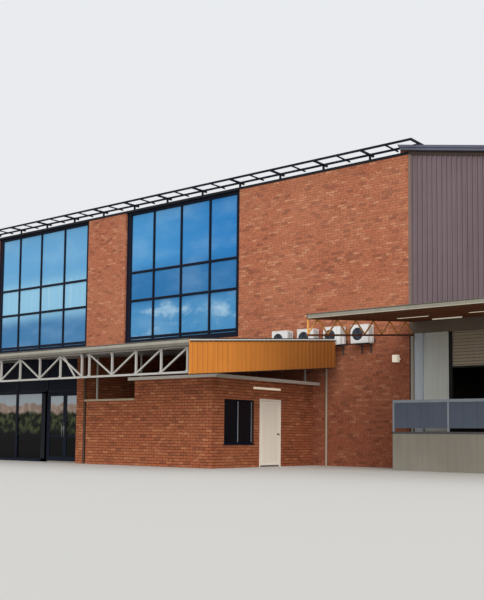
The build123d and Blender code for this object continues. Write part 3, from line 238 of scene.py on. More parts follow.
def turned_arrays(base, direction, profile, steps):
    """A turned solid. Each ring of the profile is a (distance, radius) pair: its centre is base
    plus the distance along direction, and it runs at radius times (cos a, sin a) in the plane
    across it. A radius of nothing closes an end."""
    direction = np.asarray(direction, float)
    first, second = axes_across(direction)
    distance, radius = np.array(profile, float).T
    angle = np.linspace(0, 2 * pi, steps, endpoint=False)
    circle = np.cos(angle)[:, None] * first + np.sin(angle)[:, None] * second
    centres = np.asarray(base, float) + distance[:, None] * direction
    points = centres[:, None, :] + radius[:, None, None] * circle[None]
    number = np.arange(len(profile) * steps).reshape(-1, steps)
    after = np.roll(number, -1, axis=1)
    quads = np.stack([number[:-1], after[:-1], after[1:], number[1:]], -1)
    return points.reshape(-1, 3), quads.reshape(-1, 4)


def round_bar(start, end, radius, steps):
    """A closed round bar from start to end."""
    start = np.asarray(start, float)
    end = np.asarray(end, float)
    length = np.linalg.norm(end - start)
    profile = [(0, 0), (0, radius), (length, radius), (length, 0)]
    return turned_arrays(start, (end - start) / length, profile, steps)


def hoop_arrays(centre, direction, radius, wire, steps, sides):
    """A wire hoop: a point at angle a round the ring and b round the wire lies at
    (radius + wire cos b) along the spoke at a, plus wire sin b along direction."""
    direction = np.asarray(direction, float)
    first, second = axes_across(direction)
    a = np.linspace(0, 2 * pi, steps, endpoint=False)[:, None, None]
    b = np.linspace(0, 2 * pi, sides, endpoint=False)[None, :, None]
    spoke = np.cos(a) * first + np.sin(a) * second
    points = np.asarray(centre, float) + (radius + wire * np.cos(b)) * spoke + wire * np.sin(b) * direction
    number = np.arange(steps * sides).reshape(steps, sides)
    next_a = np.roll(number, -1, axis=0)
    next_b = np.roll(number, -1, axis=1)
    quads = np.stack([number, next_b, np.roll(next_a, -1, axis=1), next_a], -1)
    return points.reshape(-1, 3), quads.reshape(-1, 4)


def piece_from(name, parts, material, body=FIXED, smooth=False):
    """One piece from several (points, quads) pairs, its poles closed and its faces outward."""
    mesh = quad_mesh(name, *join_arrays(parts))
    shape = bmesh.new()
    shape.from_mesh(mesh)
    bmesh.ops.remove_doubles(shape, verts=shape.verts, dist=1e-6)
    bmesh.ops.recalc_face_normals(shape, faces=shape.faces)
    shape.to_mesh(mesh)
    shape.free()
    if smooth:
        mesh.polygons.foreach_set("use_smooth", np.ones(len(mesh.polygons), bool))
    make_object(name, mesh, material, body)


def boxes_piece(name, boxes, material, body=FIXED):
    """One piece from (low corner, high corner) pairs."""
    piece_from(name, [box_arrays(*zip(*boxes))], material, body)


def solid_boxes(node):
    """The box of each separate solid of a CAD node, from left to right. Triangles that share
    a corner take the lowest of their labels until no label changes."""
    mesh = NODES[node].data
    points = np.empty(len(mesh.vertices) * 3, np.float32)
    mesh.vertices.foreach_get("co", points)
    corners = np.empty(len(mesh.loops), np.int32)
    mesh.loops.foreach_get("vertex_index", corners)
    places, merged = np.unique(np.round(points.reshape(-1, 3), 4), axis=0, return_inverse=True)
    triangles = merged.ravel()[corners].reshape(-1, 3)
    label = np.arange(len(places))
    while True:
        lower = label.copy()
        np.minimum.at(lower, triangles.ravel(), np.repeat(label[triangles].min(axis=1), 3))
        if np.array_equal(lower, label):
            break
        label = lower
    boxes = [(places[label == kind].min(0), places[label == kind].max(0)) for kind in np.unique(label)]
    return sorted(boxes, key=lambda pair: tuple(pair[0]))


# Brick skins

def cut_by_opening(bricks, opening):
    """Bricks are rows of (u0, u1, z0, z1). Each that meets the opening leaves what lies
    left of it, right of it, below it and above it."""
    a, b, c, d = opening
    u0, u1, z0, z1 = bricks.T
    meets = (u1 > a) & (u0 < b) & (z1 > c) & (z0 < d)
    u0, u1, z0, z1 = bricks[meets].T
    inner_u0 = np.maximum(u0, a)
    inner_u1 = np.minimum(u1, b)
    left = np.stack([u0, np.minimum(u1, a), z0, z1], -1)
    right = np.stack([np.maximum(u0, b), u1, z0, z1], -1)
    below = np.stack([inner_u0, inner_u1, z0, np.minimum(z1, c)], -1)
    above = np.stack([inner_u0, inner_u1, np.maximum(z0, d), z1], -1)
    return np.concatenate([bricks[~meets], left, right, below, above])


def height_along(height, u, length):
    """A height along a face: one number, or the two heights that it runs between."""
    start, end = np.broadcast_to(height, 2)
    return start + (end - start) * u / length


def brick_field(length, low, high, bed, head, half_first, from_right, openings):
    """Stretcher bond over a face: rows rise by one course, and every other row starts with
    half a brick. Low and high are one height each, or a height at each end."""
    rows = np.arange(floor(float(np.min(low)) / COURSE), ceil(float(np.max(high)) / COURSE))
    columns = np.arange(-1, ceil(length / BRICK_PITCH) + 1)
    row, column = np.meshgrid(rows, columns, indexing="ij")
    u0 = column * BRICK_PITCH + ((row + half_first) % 2) * BRICK_PITCH / 2
    z0 = row * COURSE + bed / 2
    bricks = np.stack([u0, u0 + BRICK_PITCH - head, z0, z0 + COURSE - bed], -1).reshape(-1, 4)
    bricks[:, :2] = np.clip(bricks[:, :2], 0, length)
    if from_right:
        bricks[:, :2] = length - bricks[:, 1::-1]
    for opening in openings:
        bricks = cut_by_opening(bricks, opening)
    middle = bricks[:, :2].mean(axis=1)
    bricks[:, 2] = np.maximum(bricks[:, 2], height_along(low, middle, length))
    bricks[:, 3] = np.minimum(bricks[:, 3], height_along(high, middle, length))
    wide = bricks[:, 1] - bricks[:, 0] > SMALLEST_CUT
    tall = bricks[:, 3] - bricks[:, 2] > SMALLEST_CUT
    return bricks[wide & tall]


def brick_face(bond, corner, normal, length, low, high, half_first=0, from_right=False, openings=()):
    """Boxes of one brick face, with a tone for each. Corner is its left end as seen from
    outside, u runs to the right along the face, and z counts from the ground."""
    random = np.random.default_rng(SEED + int(abs(corner[0] * 100) + abs(corner[1] * 10) + length * 7))
    bed, head, least, most = bond
    bricks = brick_field(length, low, high, bed, head, half_first, from_right, openings)
    count = len(bricks)
    normal = np.array(normal, float)
    along = np.cross((0, 0, 1), normal)
    proud = random.uniform(least, most, count)
    corner = np.array([corner[0], corner[1], 0.0])

    def place(u, z, depth):
        return corner + u[:, None] * along + z[:, None] * np.array([0, 0, 1.0]) + depth[:, None] * normal

    u0, u1, z0, z1 = bricks.T
    root = np.full(count, -BRICK_ROOT)
    ends = [place(u, z, d) for d in (proud, root) for u, z in ((u0, z0), (u1, z0), (u1, z1), (u0, z1))]
    sides = np.array([
        [0, 1, 2, 3], [7, 6, 5, 4], [0, 4, 5, 1], [1, 5, 6, 2], [2, 6, 7, 3], [3, 7, 4, 0]])
    quads = sides[None] + 8 * np.arange(count)[:, None, None]
    tones = np.repeat(random.random(count), len(sides))
    return np.stack(ends, 1).reshape(-1, 3), quads.reshape(-1, 4), tones


def brick_skin(name, faces, material):
    """One piece of brickwork from several faces, with a tone for each brick."""
    mesh = quad_mesh(name, *join_arrays([face[:2] for face in faces]))
    tone = mesh.attributes.new("tone", "FLOAT", "FACE")
    tone.data.foreach_set("value", np.concatenate([face[2] for face in faces]).astype(np.float32))
    make_object(name, mesh, material)


# Shader parts

def tint(code):
    """A colour code as seen on a screen, turned into the linear values that shaders use."""
    values = [int(code[index:index + 2], 16) / 255 for index in (0, 2, 4)]
    linear = [value / 12.92 if value <= 0.04045 else ((value + 0.055) / 1.055) ** 2.4 for value in values]
    return (*linear, 1.0)


def set_inputs(tree, node, inputs):
    """Each input of a node takes a link, a plain value or a colour code."""
    for key, value in inputs.items():
        if isinstance(value, bpy.types.NodeSocket):
            tree.links.new(value, node.inputs[key])
        else:
            node.inputs[key].default_value = tint(value) if isinstance(value, str) else value
    return node.outputs


def add_node(tree, kind, inputs=None, **settings):
    """A new node with its settings, plain values and links. It gives back its outputs."""
    made = tree.nodes.new(kind)
    for key, value in settings.items():
        setattr(made, key, value)
    return set_inputs(tree, made, inputs or {})


def maths(tree, operation, first, second=0.0, clamp=False):
    """One operation on two values or links."""
    return add_node(tree, "ShaderNodeMath", {0: first, 1: second}, operation=operation, use_clamp=clamp)[0]


def times(tree, first, second):
    """The first times the second."""
    return maths(tree, "MULTIPLY", first, second)


def spread(tree, value, low, high, new_low=0.0, new_high=1.0):
    """Value carried smoothly from one range to another."""
    inputs = {"Value": value, "From Min": low, "From Max": high, "To Min": new_low, "To Max": new_high}
    return add_node(tree, "ShaderNodeMapRange", inputs, interpolation_type="SMOOTHSTEP")[0]


def blend(tree, factor, first, second, kind="MIX"):
    """The first colour where the factor is 0, and the second where it is 1."""
    inputs = {0: factor, 6: first, 7: second}
    return add_node(tree, "ShaderNodeMix", inputs, data_type="RGBA", blend_type=kind)[2]


def object_place(tree):
    """The point on a piece, in metres."""
    return add_node(tree, "ShaderNodeTexCoord")["Object"]


def object_parts(tree):
    """The X, Y and Z of object coordinates."""
    return add_node(tree, "ShaderNodeSeparateXYZ", {0: object_place(tree)})


def facing_parts(tree):
    """The X, Y and Z of the direction that a face points in, in the object's own frame."""
    return add_node(tree, "ShaderNodeSeparateXYZ", {0: add_node(tree, "ShaderNodeTexCoord")["Normal"]})


def scaled(tree, vector, scale):
    """A vector with each of its parts times a number."""
    return add_node(tree, "ShaderNodeMapping", {"Vector": vector, "Scale": scale})[0]


def noise(tree, vector, scale, detail=3.0, roughness=0.55):
    """Soft noise from 0 to 1, finer as its scale grows."""
    inputs = {"Vector": vector, "Scale": scale, "Detail": detail, "Roughness": roughness}
    return add_node(tree, "ShaderNodeTexNoise", inputs)["Fac"]


def bump(tree, height, distance, strength):
    """A normal tilted by a height, whose 1 stands for the distance in metres."""
    return add_node(tree, "ShaderNodeBump", {"Height": height, "Distance": distance, "Strength": strength})[0]


def start_group(name, inputs, outputs):
    """A node group. Its inputs are named with their plain values, where four numbers are a
    colour, and its outputs are named with their kinds."""
    tree = bpy.data.node_groups.new(name, "ShaderNodeTree")
    for label, value in inputs.items():
        kind = "NodeSocketColor" if isinstance(value, tuple) else "NodeSocketFloat"
        tree.interface.new_socket(label, in_out="INPUT", socket_type=kind).default_value = value
    for label, kind in outputs.items():
        tree.interface.new_socket(label, in_out="OUTPUT", socket_type="NodeSocket" + kind)
    return tree, tree.nodes.new("NodeGroupInput").outputs, tree.nodes.new("NodeGroupOutput").inputs


def place_group(tree, group, inputs):
    """A group's outputs, with its inputs set."""
    made = tree.nodes.new("ShaderNodeGroup")
    made.node_tree = group
    return set_inputs(tree, made, inputs)


def start_material(name, **plain):
    """A material with one Principled shader, whose plain values are set on its own sockets."""
    material = bpy.data.materials.new(name)
    material.use_nodes = True
    tree = material.node_tree
    tree.nodes.clear()
    shader = tree.nodes.new("ShaderNodeBsdfPrincipled")
    leave = tree.nodes.new("ShaderNodeOutputMaterial")
    tree.links.new(shader.outputs[0], leave.inputs["Surface"])
    for key, value in plain.items():
        shader.inputs[key.replace("_", " ")].default_value = value
    return material, tree, shader.inputs


def weather_group():
    """Weathering: broad clouds of fading, streaks that run down, and dust on what faces up."""
    tree, given, result = start_group(
        "weathering",
        {"Color": (0.5, 0.5, 0.5, 1), "Fading": 0.2, "Streaks": 0.2, "Dust": 0.2, "Roughness": 0.5},
        {"Color": "Color", "Roughness": "Float", "Height": "Float"})
    place = object_place(tree)
    clouds = spread(tree, noise(tree, place, 0.55, 4.0), 0.35, 0.68)
    runs = spread(tree, noise(tree, scaled(tree, place, (9.0, 9.0, 0.35)), 1.0, 3.0), 0.42, 0.72)
    upward = spread(tree, facing_parts(tree)["Z"], 0.35, 0.95)
    darker = blend(tree, 1.0, given["Color"], (0.62, 0.60, 0.58, 1), "MULTIPLY")
    faded = blend(tree, times(tree, clouds, given["Fading"]), given["Color"], darker)
    streaked = blend(tree, times(tree, runs, given["Streaks"]), faded, darker)
    settled = times(tree, upward, given["Dust"])
    tree.links.new(blend(tree, settled, streaked, "a39c90"), result["Color"])
    rougher = times(tree, clouds, 0.12)
    tree.links.new(maths(tree, "ADD", given["Roughness"], rougher, True), result["Roughness"])
    tree.links.new(noise(tree, place, 45.0, 2.0), result["Height"])
    return tree


def brick_group():
    """Fired clay: a tone for each brick, mottled within it, and painted shade darkening it towards the
    ground.
    """
    tree, given, result = start_group(
        "fired_clay",
        {"Tone": 0.5, "Dark": (0.1, 0.05, 0.03, 1), "Middle": (0.3, 0.1, 0.06, 1),
         "Pale": (0.5, 0.3, 0.2, 1), "Mottle": 0.4, "Low shade": 0.3},
        {"Color": "Color", "Height": "Float"})
    place = object_place(tree)
    low_half = blend(tree, spread(tree, given["Tone"], -0.16, 0.32), given["Dark"], given["Middle"])
    both = blend(tree, spread(tree, given["Tone"], 0.7, 1.22), low_half, given["Pale"])
    blots = spread(tree, noise(tree, place, 17.0, 4.0, 0.75), 0.42, 0.66)
    mottled = blend(tree, times(tree, blots, given["Mottle"]), both, given["Dark"])
    flecks = spread(tree, noise(tree, place, 38.0, 3.0, 0.7), 0.52, 0.7)
    flecked = blend(tree, times(tree, flecks, given["Mottle"]), mottled, given["Pale"])
    clouds = spread(tree, noise(tree, place, 0.42, 4.0), 0.35, 0.7)
    clouded = blend(tree, times(tree, clouds, 0.16), flecked, given["Pale"])
    wander = times(tree, noise(tree, place, 0.8, 3.0), 2.4)
    # Painted shade: darker towards the ground, along a wandering height.
    low_shade = spread(tree, maths(tree, "SUBTRACT", object_parts(tree)["Z"], wander), 5.2, -1.2)
    shaded_low = blend(tree, 1.0, clouded, (0.55, 0.46, 0.43, 1), "MULTIPLY")
    tree.links.new(blend(tree, times(tree, low_shade, given["Low shade"]), clouded, shaded_low), result["Color"])
    tree.links.new(noise(tree, place, 90.0, 3.0), result["Height"])
    return tree


WEATHER = weather_group()
CLAY = brick_group()


# Materials

def weathered(tree, color, fading, streaks, dust, roughness):
    """The weathering group's outputs over a colour."""
    return place_group(tree, WEATHER, {
        "Color": color, "Fading": fading, "Streaks": streaks, "Dust": dust, "Roughness": roughness})


def brick_material(name, dark, middle, pale, mottle, low_shade):
    """Bricks: one tone each from the piece's own attribute, over the fired clay."""
    material, tree, shader = start_material(name, Roughness=0.9, Specular_IOR_Level=0.25)
    clay = place_group(tree, CLAY, {
        "Tone": add_node(tree, "ShaderNodeAttribute", attribute_name="tone")["Fac"],
        "Dark": dark, "Middle": middle, "Pale": pale, "Mottle": mottle, "Low shade": low_shade})
    tree.links.new(clay["Color"], shader["Base Color"])
    tree.links.new(bump(tree, clay["Height"], 0.002, 0.5), shader["Normal"])
    return material


def mortar_material(name, joint, sand_code):
    """Sandy mortar behind the bricks, with painted shade darkening it near the ground. The party wall's face
    inside the warehouse, which lies at the right of all the brickwork, is painted near black as shade."""
    inside_x = 0.146
    material, tree, shader = start_material(name, Roughness=0.92, Specular_IOR_Level=0.25)
    aged = weathered(tree, joint, 0.35, 0.2, 0.05, 0.9)
    sand = noise(tree, object_place(tree), 260.0, 2.0)
    sandy = blend(tree, spread(tree, sand, 0.3, 0.7, 0.0, 0.3), aged["Color"], sand_code)
    # Painted shade: darker near the ground.
    low_shade = spread(tree, object_parts(tree)["Z"], 4.4, 0.0, 0.0, 0.5)
    shaded_low = blend(tree, low_shade, sandy, blend(tree, 1.0, sandy, (0.5, 0.42, 0.4, 1), "MULTIPLY"))
    # Painted shade: the party wall's face inside the warehouse is near black.
    inside = spread(tree, object_parts(tree)["X"], inside_x, inside_x + 0.003)
    tree.links.new(blend(tree, inside, shaded_low, "1d1814"), shader["Base Color"])
    tree.links.new(bump(tree, sand, 0.002, 0.6), shader["Normal"])
    return material


def finish_coat(made, color, roughness, fading, streaks, dust):
    """Weathering over a colour that may change along the piece."""
    material, tree, shader = made
    aged = weathered(tree, color, fading, streaks, dust, roughness)
    tree.links.new(aged["Color"], shader["Base Color"])
    tree.links.new(aged["Roughness"], shader["Roughness"])
    tree.links.new(bump(tree, aged["Height"], 0.0006, 0.35), shader["Normal"])
    return material


def coat(name, code, roughness=0.5, fading=0.25, streaks=0.2, dust=0.1, metallic=0.0, gloss=0.3):
    """Paint or a metal coat of one colour."""
    made = start_material(name, Metallic=metallic, Specular_IOR_Level=gloss)
    return finish_coat(made, code, roughness, fading, streaks, dust)


def two_coat(name, first, second, start, end):
    """A coat whose colour runs from the first to the second along X."""
    made = start_material(name, Specular_IOR_Level=0.3)
    tree = made[1]
    color = blend(tree, spread(tree, object_parts(tree)["X"], start, end), first, second)
    return finish_coat(made, color, 0.5, 0.25, 0.25, 0.1)


def sheet_material(name, above, below):
    """Roof sheet: weathered on top, and another colour underneath; the dark underside of the canopy and
    warehouse sheets is painted shade.
    """
    made = start_material(name, Specular_IOR_Level=0.3)
    tree = made[1]
    # The colour underneath stands for painted shade under the canopy and warehouse roofs.
    color = blend(tree, spread(tree, facing_parts(tree)["Z"], -0.2, -0.7), above, below)
    return finish_coat(made, color, 0.6, 0.35, 0.4, 0.15)


def ribbed_material(name, near, far, line, along, start, end, depth):
    """Ribbed sheet: painted shade darkens the slanted flanks of the ribs, and the colour runs from near to
    far along an axis."""
    made = start_material(name, Specular_IOR_Level=0.25)
    tree = made[1]
    parts = facing_parts(tree)
    slant = maths(tree, "ABSOLUTE", times(tree, parts["X"], parts["Y"]))
    # On the fascia, the run from near to far along Y is painted shade, darker towards the wall.
    pan = blend(tree, spread(tree, object_parts(tree)[along], start, end), near, far)
    # The line colour on the rib flanks is painted shade.
    color = blend(tree, spread(tree, slant, 0.1, 0.35, 0.0, depth), pan, line)
    return finish_coat(made, color, 0.6, 0.25, 0.35, 0.1)


def cast_material(name, code, fading=0.4, streaks=0.3):
    """Concrete, stone or felt: clouds, fine pits and a rough face."""
    material, tree, shader = start_material(name, Specular_IOR_Level=0.3)
    aged = weathered(tree, code, fading, streaks, 0.2, 0.85)
    pits = noise(tree, object_place(tree), 60.0, 5.0, 0.7)
    speckled = blend(tree, spread(tree, pits, 0.5, 0.3, 0.0, 0.3), aged["Color"], "4b463f")
    tree.links.new(speckled, shader["Base Color"])
    tree.links.new(aged["Roughness"], shader["Roughness"])
    tree.links.new(bump(tree, pits, 0.002, 0.6), shader["Normal"])
    return material


def gutter_material():
    """Rolled gutter sheet: dull below the canopy gutter's fold, paler above it, duller again on the awning's
    with a pale foot, and a dark line of painted shadow at the lip of each."""
    fold, canopy_lip, awning_lip = 3.35, 3.424, 4.046
    awning_foot = 3.94
    made = start_material("gutter_coat", Specular_IOR_Level=0.3)
    tree = made[1]
    z = object_parts(tree)["Z"]
    color = blend(tree, spread(tree, z, fold - 0.005, fold + 0.005), "6f6b62", "9d9a8f")
    # The dark line at each lip is painted shadow under the roof sheet's edge.
    for lip in (canopy_lip, awning_lip):
        above = spread(tree, z, lip, lip + 0.004)
        below = spread(tree, z, lip + 0.020, lip + 0.016)
        color = blend(tree, times(tree, above, below), color, "26241f")
    over_dock = spread(tree, z, awning_foot - 0.04, awning_foot + 0.01, 0.0, 0.35)
    color = blend(tree, over_dock, color, "5f5c4c")
    above = spread(tree, z, awning_foot, awning_foot + 0.010)
    below = spread(tree, z, awning_foot + 0.036, awning_foot + 0.030)
    color = blend(tree, times(tree, above, below), color, "b9b3a2")
    return finish_coat(made, color, 0.5, 0.25, 0.3, 0.1)


def lamp_material():
    """A cream cover with a faint glow of its own, greyer towards dust on top."""
    made = start_material("lamp_cover", Emission_Strength=0.3)
    _, tree, shader = made
    glow = noise(tree, object_place(tree), 3.0, 2.0)
    tree.links.new(blend(tree, glow, "f6ecd0", "fff6e2"), shader["Emission Color"])
    return finish_coat(made, "f1e8d2", 0.35, 0.1, 0.1, 0.2)


def upper_glass_material():
    """Blue solar glass with painted reflections of the sky: deepest in the middle row of the right window,
    paler to the left and low down, with soft painted clouds and a pale painted haze, and faint upright
    streaks as of blinds behind it."""
    right_end, left_end = -6.8, -12.3
    pier_left, pier_right = WINDOW_PIER
    low_row, middle_row = WINDOW_LEVELS[1:]
    material, tree, shader = start_material(
        "solar_glass", Roughness=0.08, IOR=1.45, Specular_IOR_Level=0.14)
    place = object_place(tree)
    x, _, z = object_parts(tree)
    # The changes of blue from pane to pane are painted reflections of the sky.
    top = blend(tree, spread(tree, x, right_end, left_end), "2479bd", "4490ca")
    below = blend(tree, spread(tree, z, middle_row + 0.5, middle_row - 0.3), top, "296fa9")
    # Clouds painted as reflections of the sky.
    cloud = spread(tree, noise(tree, scaled(tree, place, (0.7, 0.7, 1.5)), 0.9, 5.0, 0.6), 0.48, 0.72)
    pale = blend(tree, cloud, "4389bd", "a3c6de")
    right = blend(tree, spread(tree, z, low_row + 0.15, low_row - 0.45), below, pale)
    upper = blend(tree, spread(tree, z, middle_row + 0.6, middle_row - 0.2), "5f9fce", "86bcdb")
    left = blend(tree, spread(tree, z, low_row + 0.1, low_row - 0.6), upper, "3d77a8")
    in_left = spread(tree, x, pier_right, pier_left)
    both = blend(tree, in_left, right, left)
    folds = spread(tree, noise(tree, scaled(tree, place, (7.0, 7.0, 0.12)), 1.0, 2.0), 0.45, 0.75, 0.0, 0.3)
    below_top = spread(tree, z, middle_row + 0.3, middle_row)
    above_foot = spread(tree, z, low_row - 0.1, low_row + 0.3)
    row = times(tree, times(tree, below_top, above_foot), in_left)
    streaked = blend(tree, times(tree, folds, row), both, "b8d8ea")
    # A pale haze painted as a reflection of the sky.
    drift = spread(tree, noise(tree, scaled(tree, place, (0.4, 0.4, 0.9)), 1.0, 3.0), 0.4, 0.75, 0.0, 0.22)
    tree.links.new(blend(tree, drift, streaked, "9cc4e0"), shader["Base Color"])
    return material


def shop_glass_material():
    """Glazing with painted reflections in soft bands: grey-blue sky at its head, a brownish band of wall, a
    mottled dark green one of foliage and nearly black at the foot. Each band wanders up and down by noise."""
    material, tree, shader = start_material(
        "shop_glass_reflections", Roughness=0.08, IOR=1.45, Specular_IOR_Level=0.08)
    place = object_place(tree)
    wander = times(tree, noise(tree, scaled(tree, place, (1.2, 1.2, 0.6)), 1.6, 4.0), 0.5)
    height = maths(tree, "ADD", object_parts(tree)["Z"], wander)
    mottle = spread(tree, noise(tree, place, 4.5, 4.0), 0.42, 0.66)
    green = blend(tree, mottle, "14170f", "4b5538")
    brown = blend(tree, mottle, "9c877c", "b9a89e")
    color = "0a0a0b"
    # These bands are painted reflections of sky, wall and foliage.
    for start, end, band in ((1.15, 1.4, green), (1.85, 1.98, brown), (2.14, 2.24, "b3c0ca")):
        color = blend(tree, spread(tree, height, start, end), color, band)
    tree.links.new(color, shader["Base Color"])
    return material


def dress(names, material):
    """Give CAD nodes their finish."""
    for name in names.split():
        mesh = NODES[name].data
        mesh.materials.clear()
        mesh.materials.append(material)
    return material


# Finishes that only pieces made here have, and then those of the CAD nodes
# The last number of each brick finish is the strength of its painted shade towards the ground.
OFFICE_BRICK = brick_material("office_clay", "754131", "b2684b", "d29a76", 0.72, 0.82)
ANNEX_BRICK = brick_material("annex_clay", "73402b", "ab6141", "d18e62", 0.6, 0.2)
PURLIN = coat("purlin_paint", "7a7369", 0.6, 0.3, 0.2)
TRIM_WHITE = coat("trim_white", "d5d2cb", 0.45, 0.15, 0.1)
EDGE_CREAM = coat("cream_edge_paint", "fbf5ea", 0.45, 0.08, 0.08)
ALUMINIUM = coat("grey_aluminium", "8f9397", 0.45, 0.15, 0.15)
FAN_DARK = coat("fan_wire_coat", "39424f", 0.5, 0.1, 0.1)
# Painted shade in the condensers' fan wells.
FAN_WELL_SHADE = coat("fan_well_shade_coat", "23272e", 0.6, 0.1, 0.1)
FLASHING = coat("flashing_coat", "7f6b62")
# Painted shadow under the verge cap.
CAP_SHADOW = coat("cap_shadow_coat", "4a3d34", 0.55)
PANEL_EDGE = coat("panel_edge_paint", "dde2de")
SLAT_LINE = coat("slat_joint_coat", "4a4238", 0.6)
PLATE = coat("guard_plate_paint", "4f5868")

dress("front_wall front_piers window_beams rear_wall end_walls",
      mortar_material("office_mortar", "8d5c49", "9f6f5a"))
dress("annex_walls annex_side_walls annex_door_head yard_screen_wall shop_side_walls",
      mortar_material("annex_mortar", "4c3026", "66483a"))
dress("ground_floor upper_floor warehouse_floor dock_platform", cast_material("cast_concrete", "8d897f"))
SLAB = dress("annex_roof", cast_material("slab_paint_worn", "e2ddd4", 0.12, 0.12))
dress("yard_coping", cast_material("coping_stone_worn", "b8a88e"))
FELT = dress("office_roof", cast_material("roof_felt_worn", "5a5a5c"))
# The near black underside of these sheets is painted shade.
ROOF_SHEET = dress("canopy_roof warehouse_roof", sheet_material("roof_sheet_coat", "8b8b86", "3a3531"))
AWNING_SHEET = dress("awning_roof", sheet_material("awning_coat", "8c857a", "8f7a58"))
TRIM = dress("roof_edge_trim", coat("trim_coat", "14171f", 0.5, 0.1, 0.1, 0.05, gloss=0.2))
NAVY = dress("roof_frame upper_window_frames annex_window_frame shopfront_frame shop_door_frame "
             "shop_door_left shop_door_right shop_spandrel",
             coat("navy_coat", "0b1122", 0.5, 0.1, 0.1, 0.03, gloss=0.15))
dress("upper_glass", upper_glass_material())
dress("shop_glass shop_door_left_glass shop_door_right_glass", shop_glass_material())
dress("annex_glass", coat("annex_glass_tint", "10141a", 0.1, 0.1, 0.1, 0.0, gloss=0.25))
CANOPY_STEEL = dress("canopy_truss canopy_rafters canopy_posts", coat("canopy_paint", "b3b2ae", 0.5, 0.3))
GUTTER = dress("gutters", gutter_material())
# The fascia falls from bright ochre at its outer end to dark brown by the wall: painted shade, as are the
# dark lines on its rib flanks.
dress("canopy_fascias",
      ribbed_material("ochre_coat", "e5913c", "95581f", "74421a", "Y", -7.3, -1.0, 0.6))
dress("annex_door annex_door_frame", coat("cream_door_paint", "f4eadc", 0.45, 0.1, 0.08))
SATIN = dress("annex_door_knobs", coat("satin_steel", "8a8b8d", 0.3, 0.1, 0.1, 0.0, metallic=0.8))
WHITE_CASE = dress("condensers", coat("white_casing", "dcdcdc", 0.45, 0.15))
BRACKET = dress("condenser_brackets", coat("bracket_coat", "4b4a4c"))
# The pipes at the left end, past X -8.5, turn dark brown: painted shade in the gap where they stand.
PIPE = dress("downpipes", two_coat("pipe_coat", "a89b8c", "4a3a2e", -7.0, -8.5))
dress("wall_lights", lamp_material())
# The dark lines on the cladding's rib flanks are painted shade.
dress("clad_front clad_side clad_rear",
      ribbed_material("cladding_coat", "75666c", "75666c", "463c41", "Z", 0.0, 9.0, 0.75))
dress("verge_cap", coat("cap_coat", "5d6071", 0.45))
dress("dock_columns", coat("column_paint", "b9c5d0"))
dress("dock_panels", coat("panel_paint", "c9cfcb"))
dress("dock_header", coat("header_paint", "766b5f", 0.55))
dress("shutter_curtain", coat("shutter_coat", "aa9e8c"))
GUIDE = dress("shutter_guides", coat("guide_coat", "1b1c1e", 0.6, gloss=0.2))
dress("dock_guard", coat("guard_paint", "868f98"))
CHORD = dress("awning_chords", coat("awning_chord_paint", "6d4028", 0.55))
dress("awning_webs", coat("awning_web_paint", "eeaa5c", 0.55))


# Brickwork of each wall

def office_brickwork():
    """Bond on the front, rear and left walls, in the reveals of the tall front windows, and on
    the party wall that stands up over the office roof."""
    face = partial(brick_face, OFFICE_BOND)
    low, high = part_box("front_wall")
    rear_low, rear_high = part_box("rear_wall")
    end_low, end_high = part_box("end_walls")
    front_y, rear_y = low.y, rear_high.y
    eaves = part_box("roof_edge_trim")[0].z
    behind_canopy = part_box("canopy_roof")[1].z - 0.2
    faces = [face((low.x, front_y), FRONT, high.x - low.x, 0, eaves, from_right=True)]
    for pier_low, pier_high in solid_boxes("front_piers"):
        foot = behind_canopy if pier_high[2] > eaves else 0
        width = pier_high[0] - pier_low[0]
        faces.append(face((pier_low[0], front_y), FRONT, width, foot, min(pier_high[2], eaves)))
    for beam_low, beam_high in solid_boxes("window_beams"):
        if beam_high[2] < eaves:
            width = beam_high[0] - beam_low[0]
            faces.append(face((beam_low[0], front_y), FRONT, width, behind_canopy, beam_high[2]))
    rear_openings = []
    for frame_low, frame_high in solid_boxes("upper_window_frames"):
        sill = frame_low[2]
        if frame_low[1] > 0:
            rear_openings.append((high.x - frame_high[0], high.x - frame_low[0], sill, frame_high[2]))
        else:
            reveal = frame_low[1] - front_y
            faces.append(face((frame_low[0], front_y), RIGHT, reveal, sill, eaves))
            faces.append(face((frame_high[0], frame_low[1]), LEFT, reveal, sill, eaves))
    brick_skin("front_brickwork", faces, OFFICE_BRICK)

    rear = face((high.x, rear_y), REAR, high.x - rear_low.x, 0, rear_high.z, openings=rear_openings)
    depth = rear_y - front_y
    under_roof = (rear_high.z - 0.01, eaves)
    over_roof = (rear_high.z, eaves + 0.08)
    party_x = high.x - (high.y - low.y)
    end = face((end_low.x, rear_y), LEFT, depth, 0, under_roof, half_first=1, from_right=True)
    party = face((party_x, rear_y), LEFT, depth, over_roof, end_high.z, half_first=1)
    for name, made in (("rear_brickwork", rear), ("end_brickwork", end), ("party_brickwork", party)):
        brick_skin(name, [made], OFFICE_BRICK)


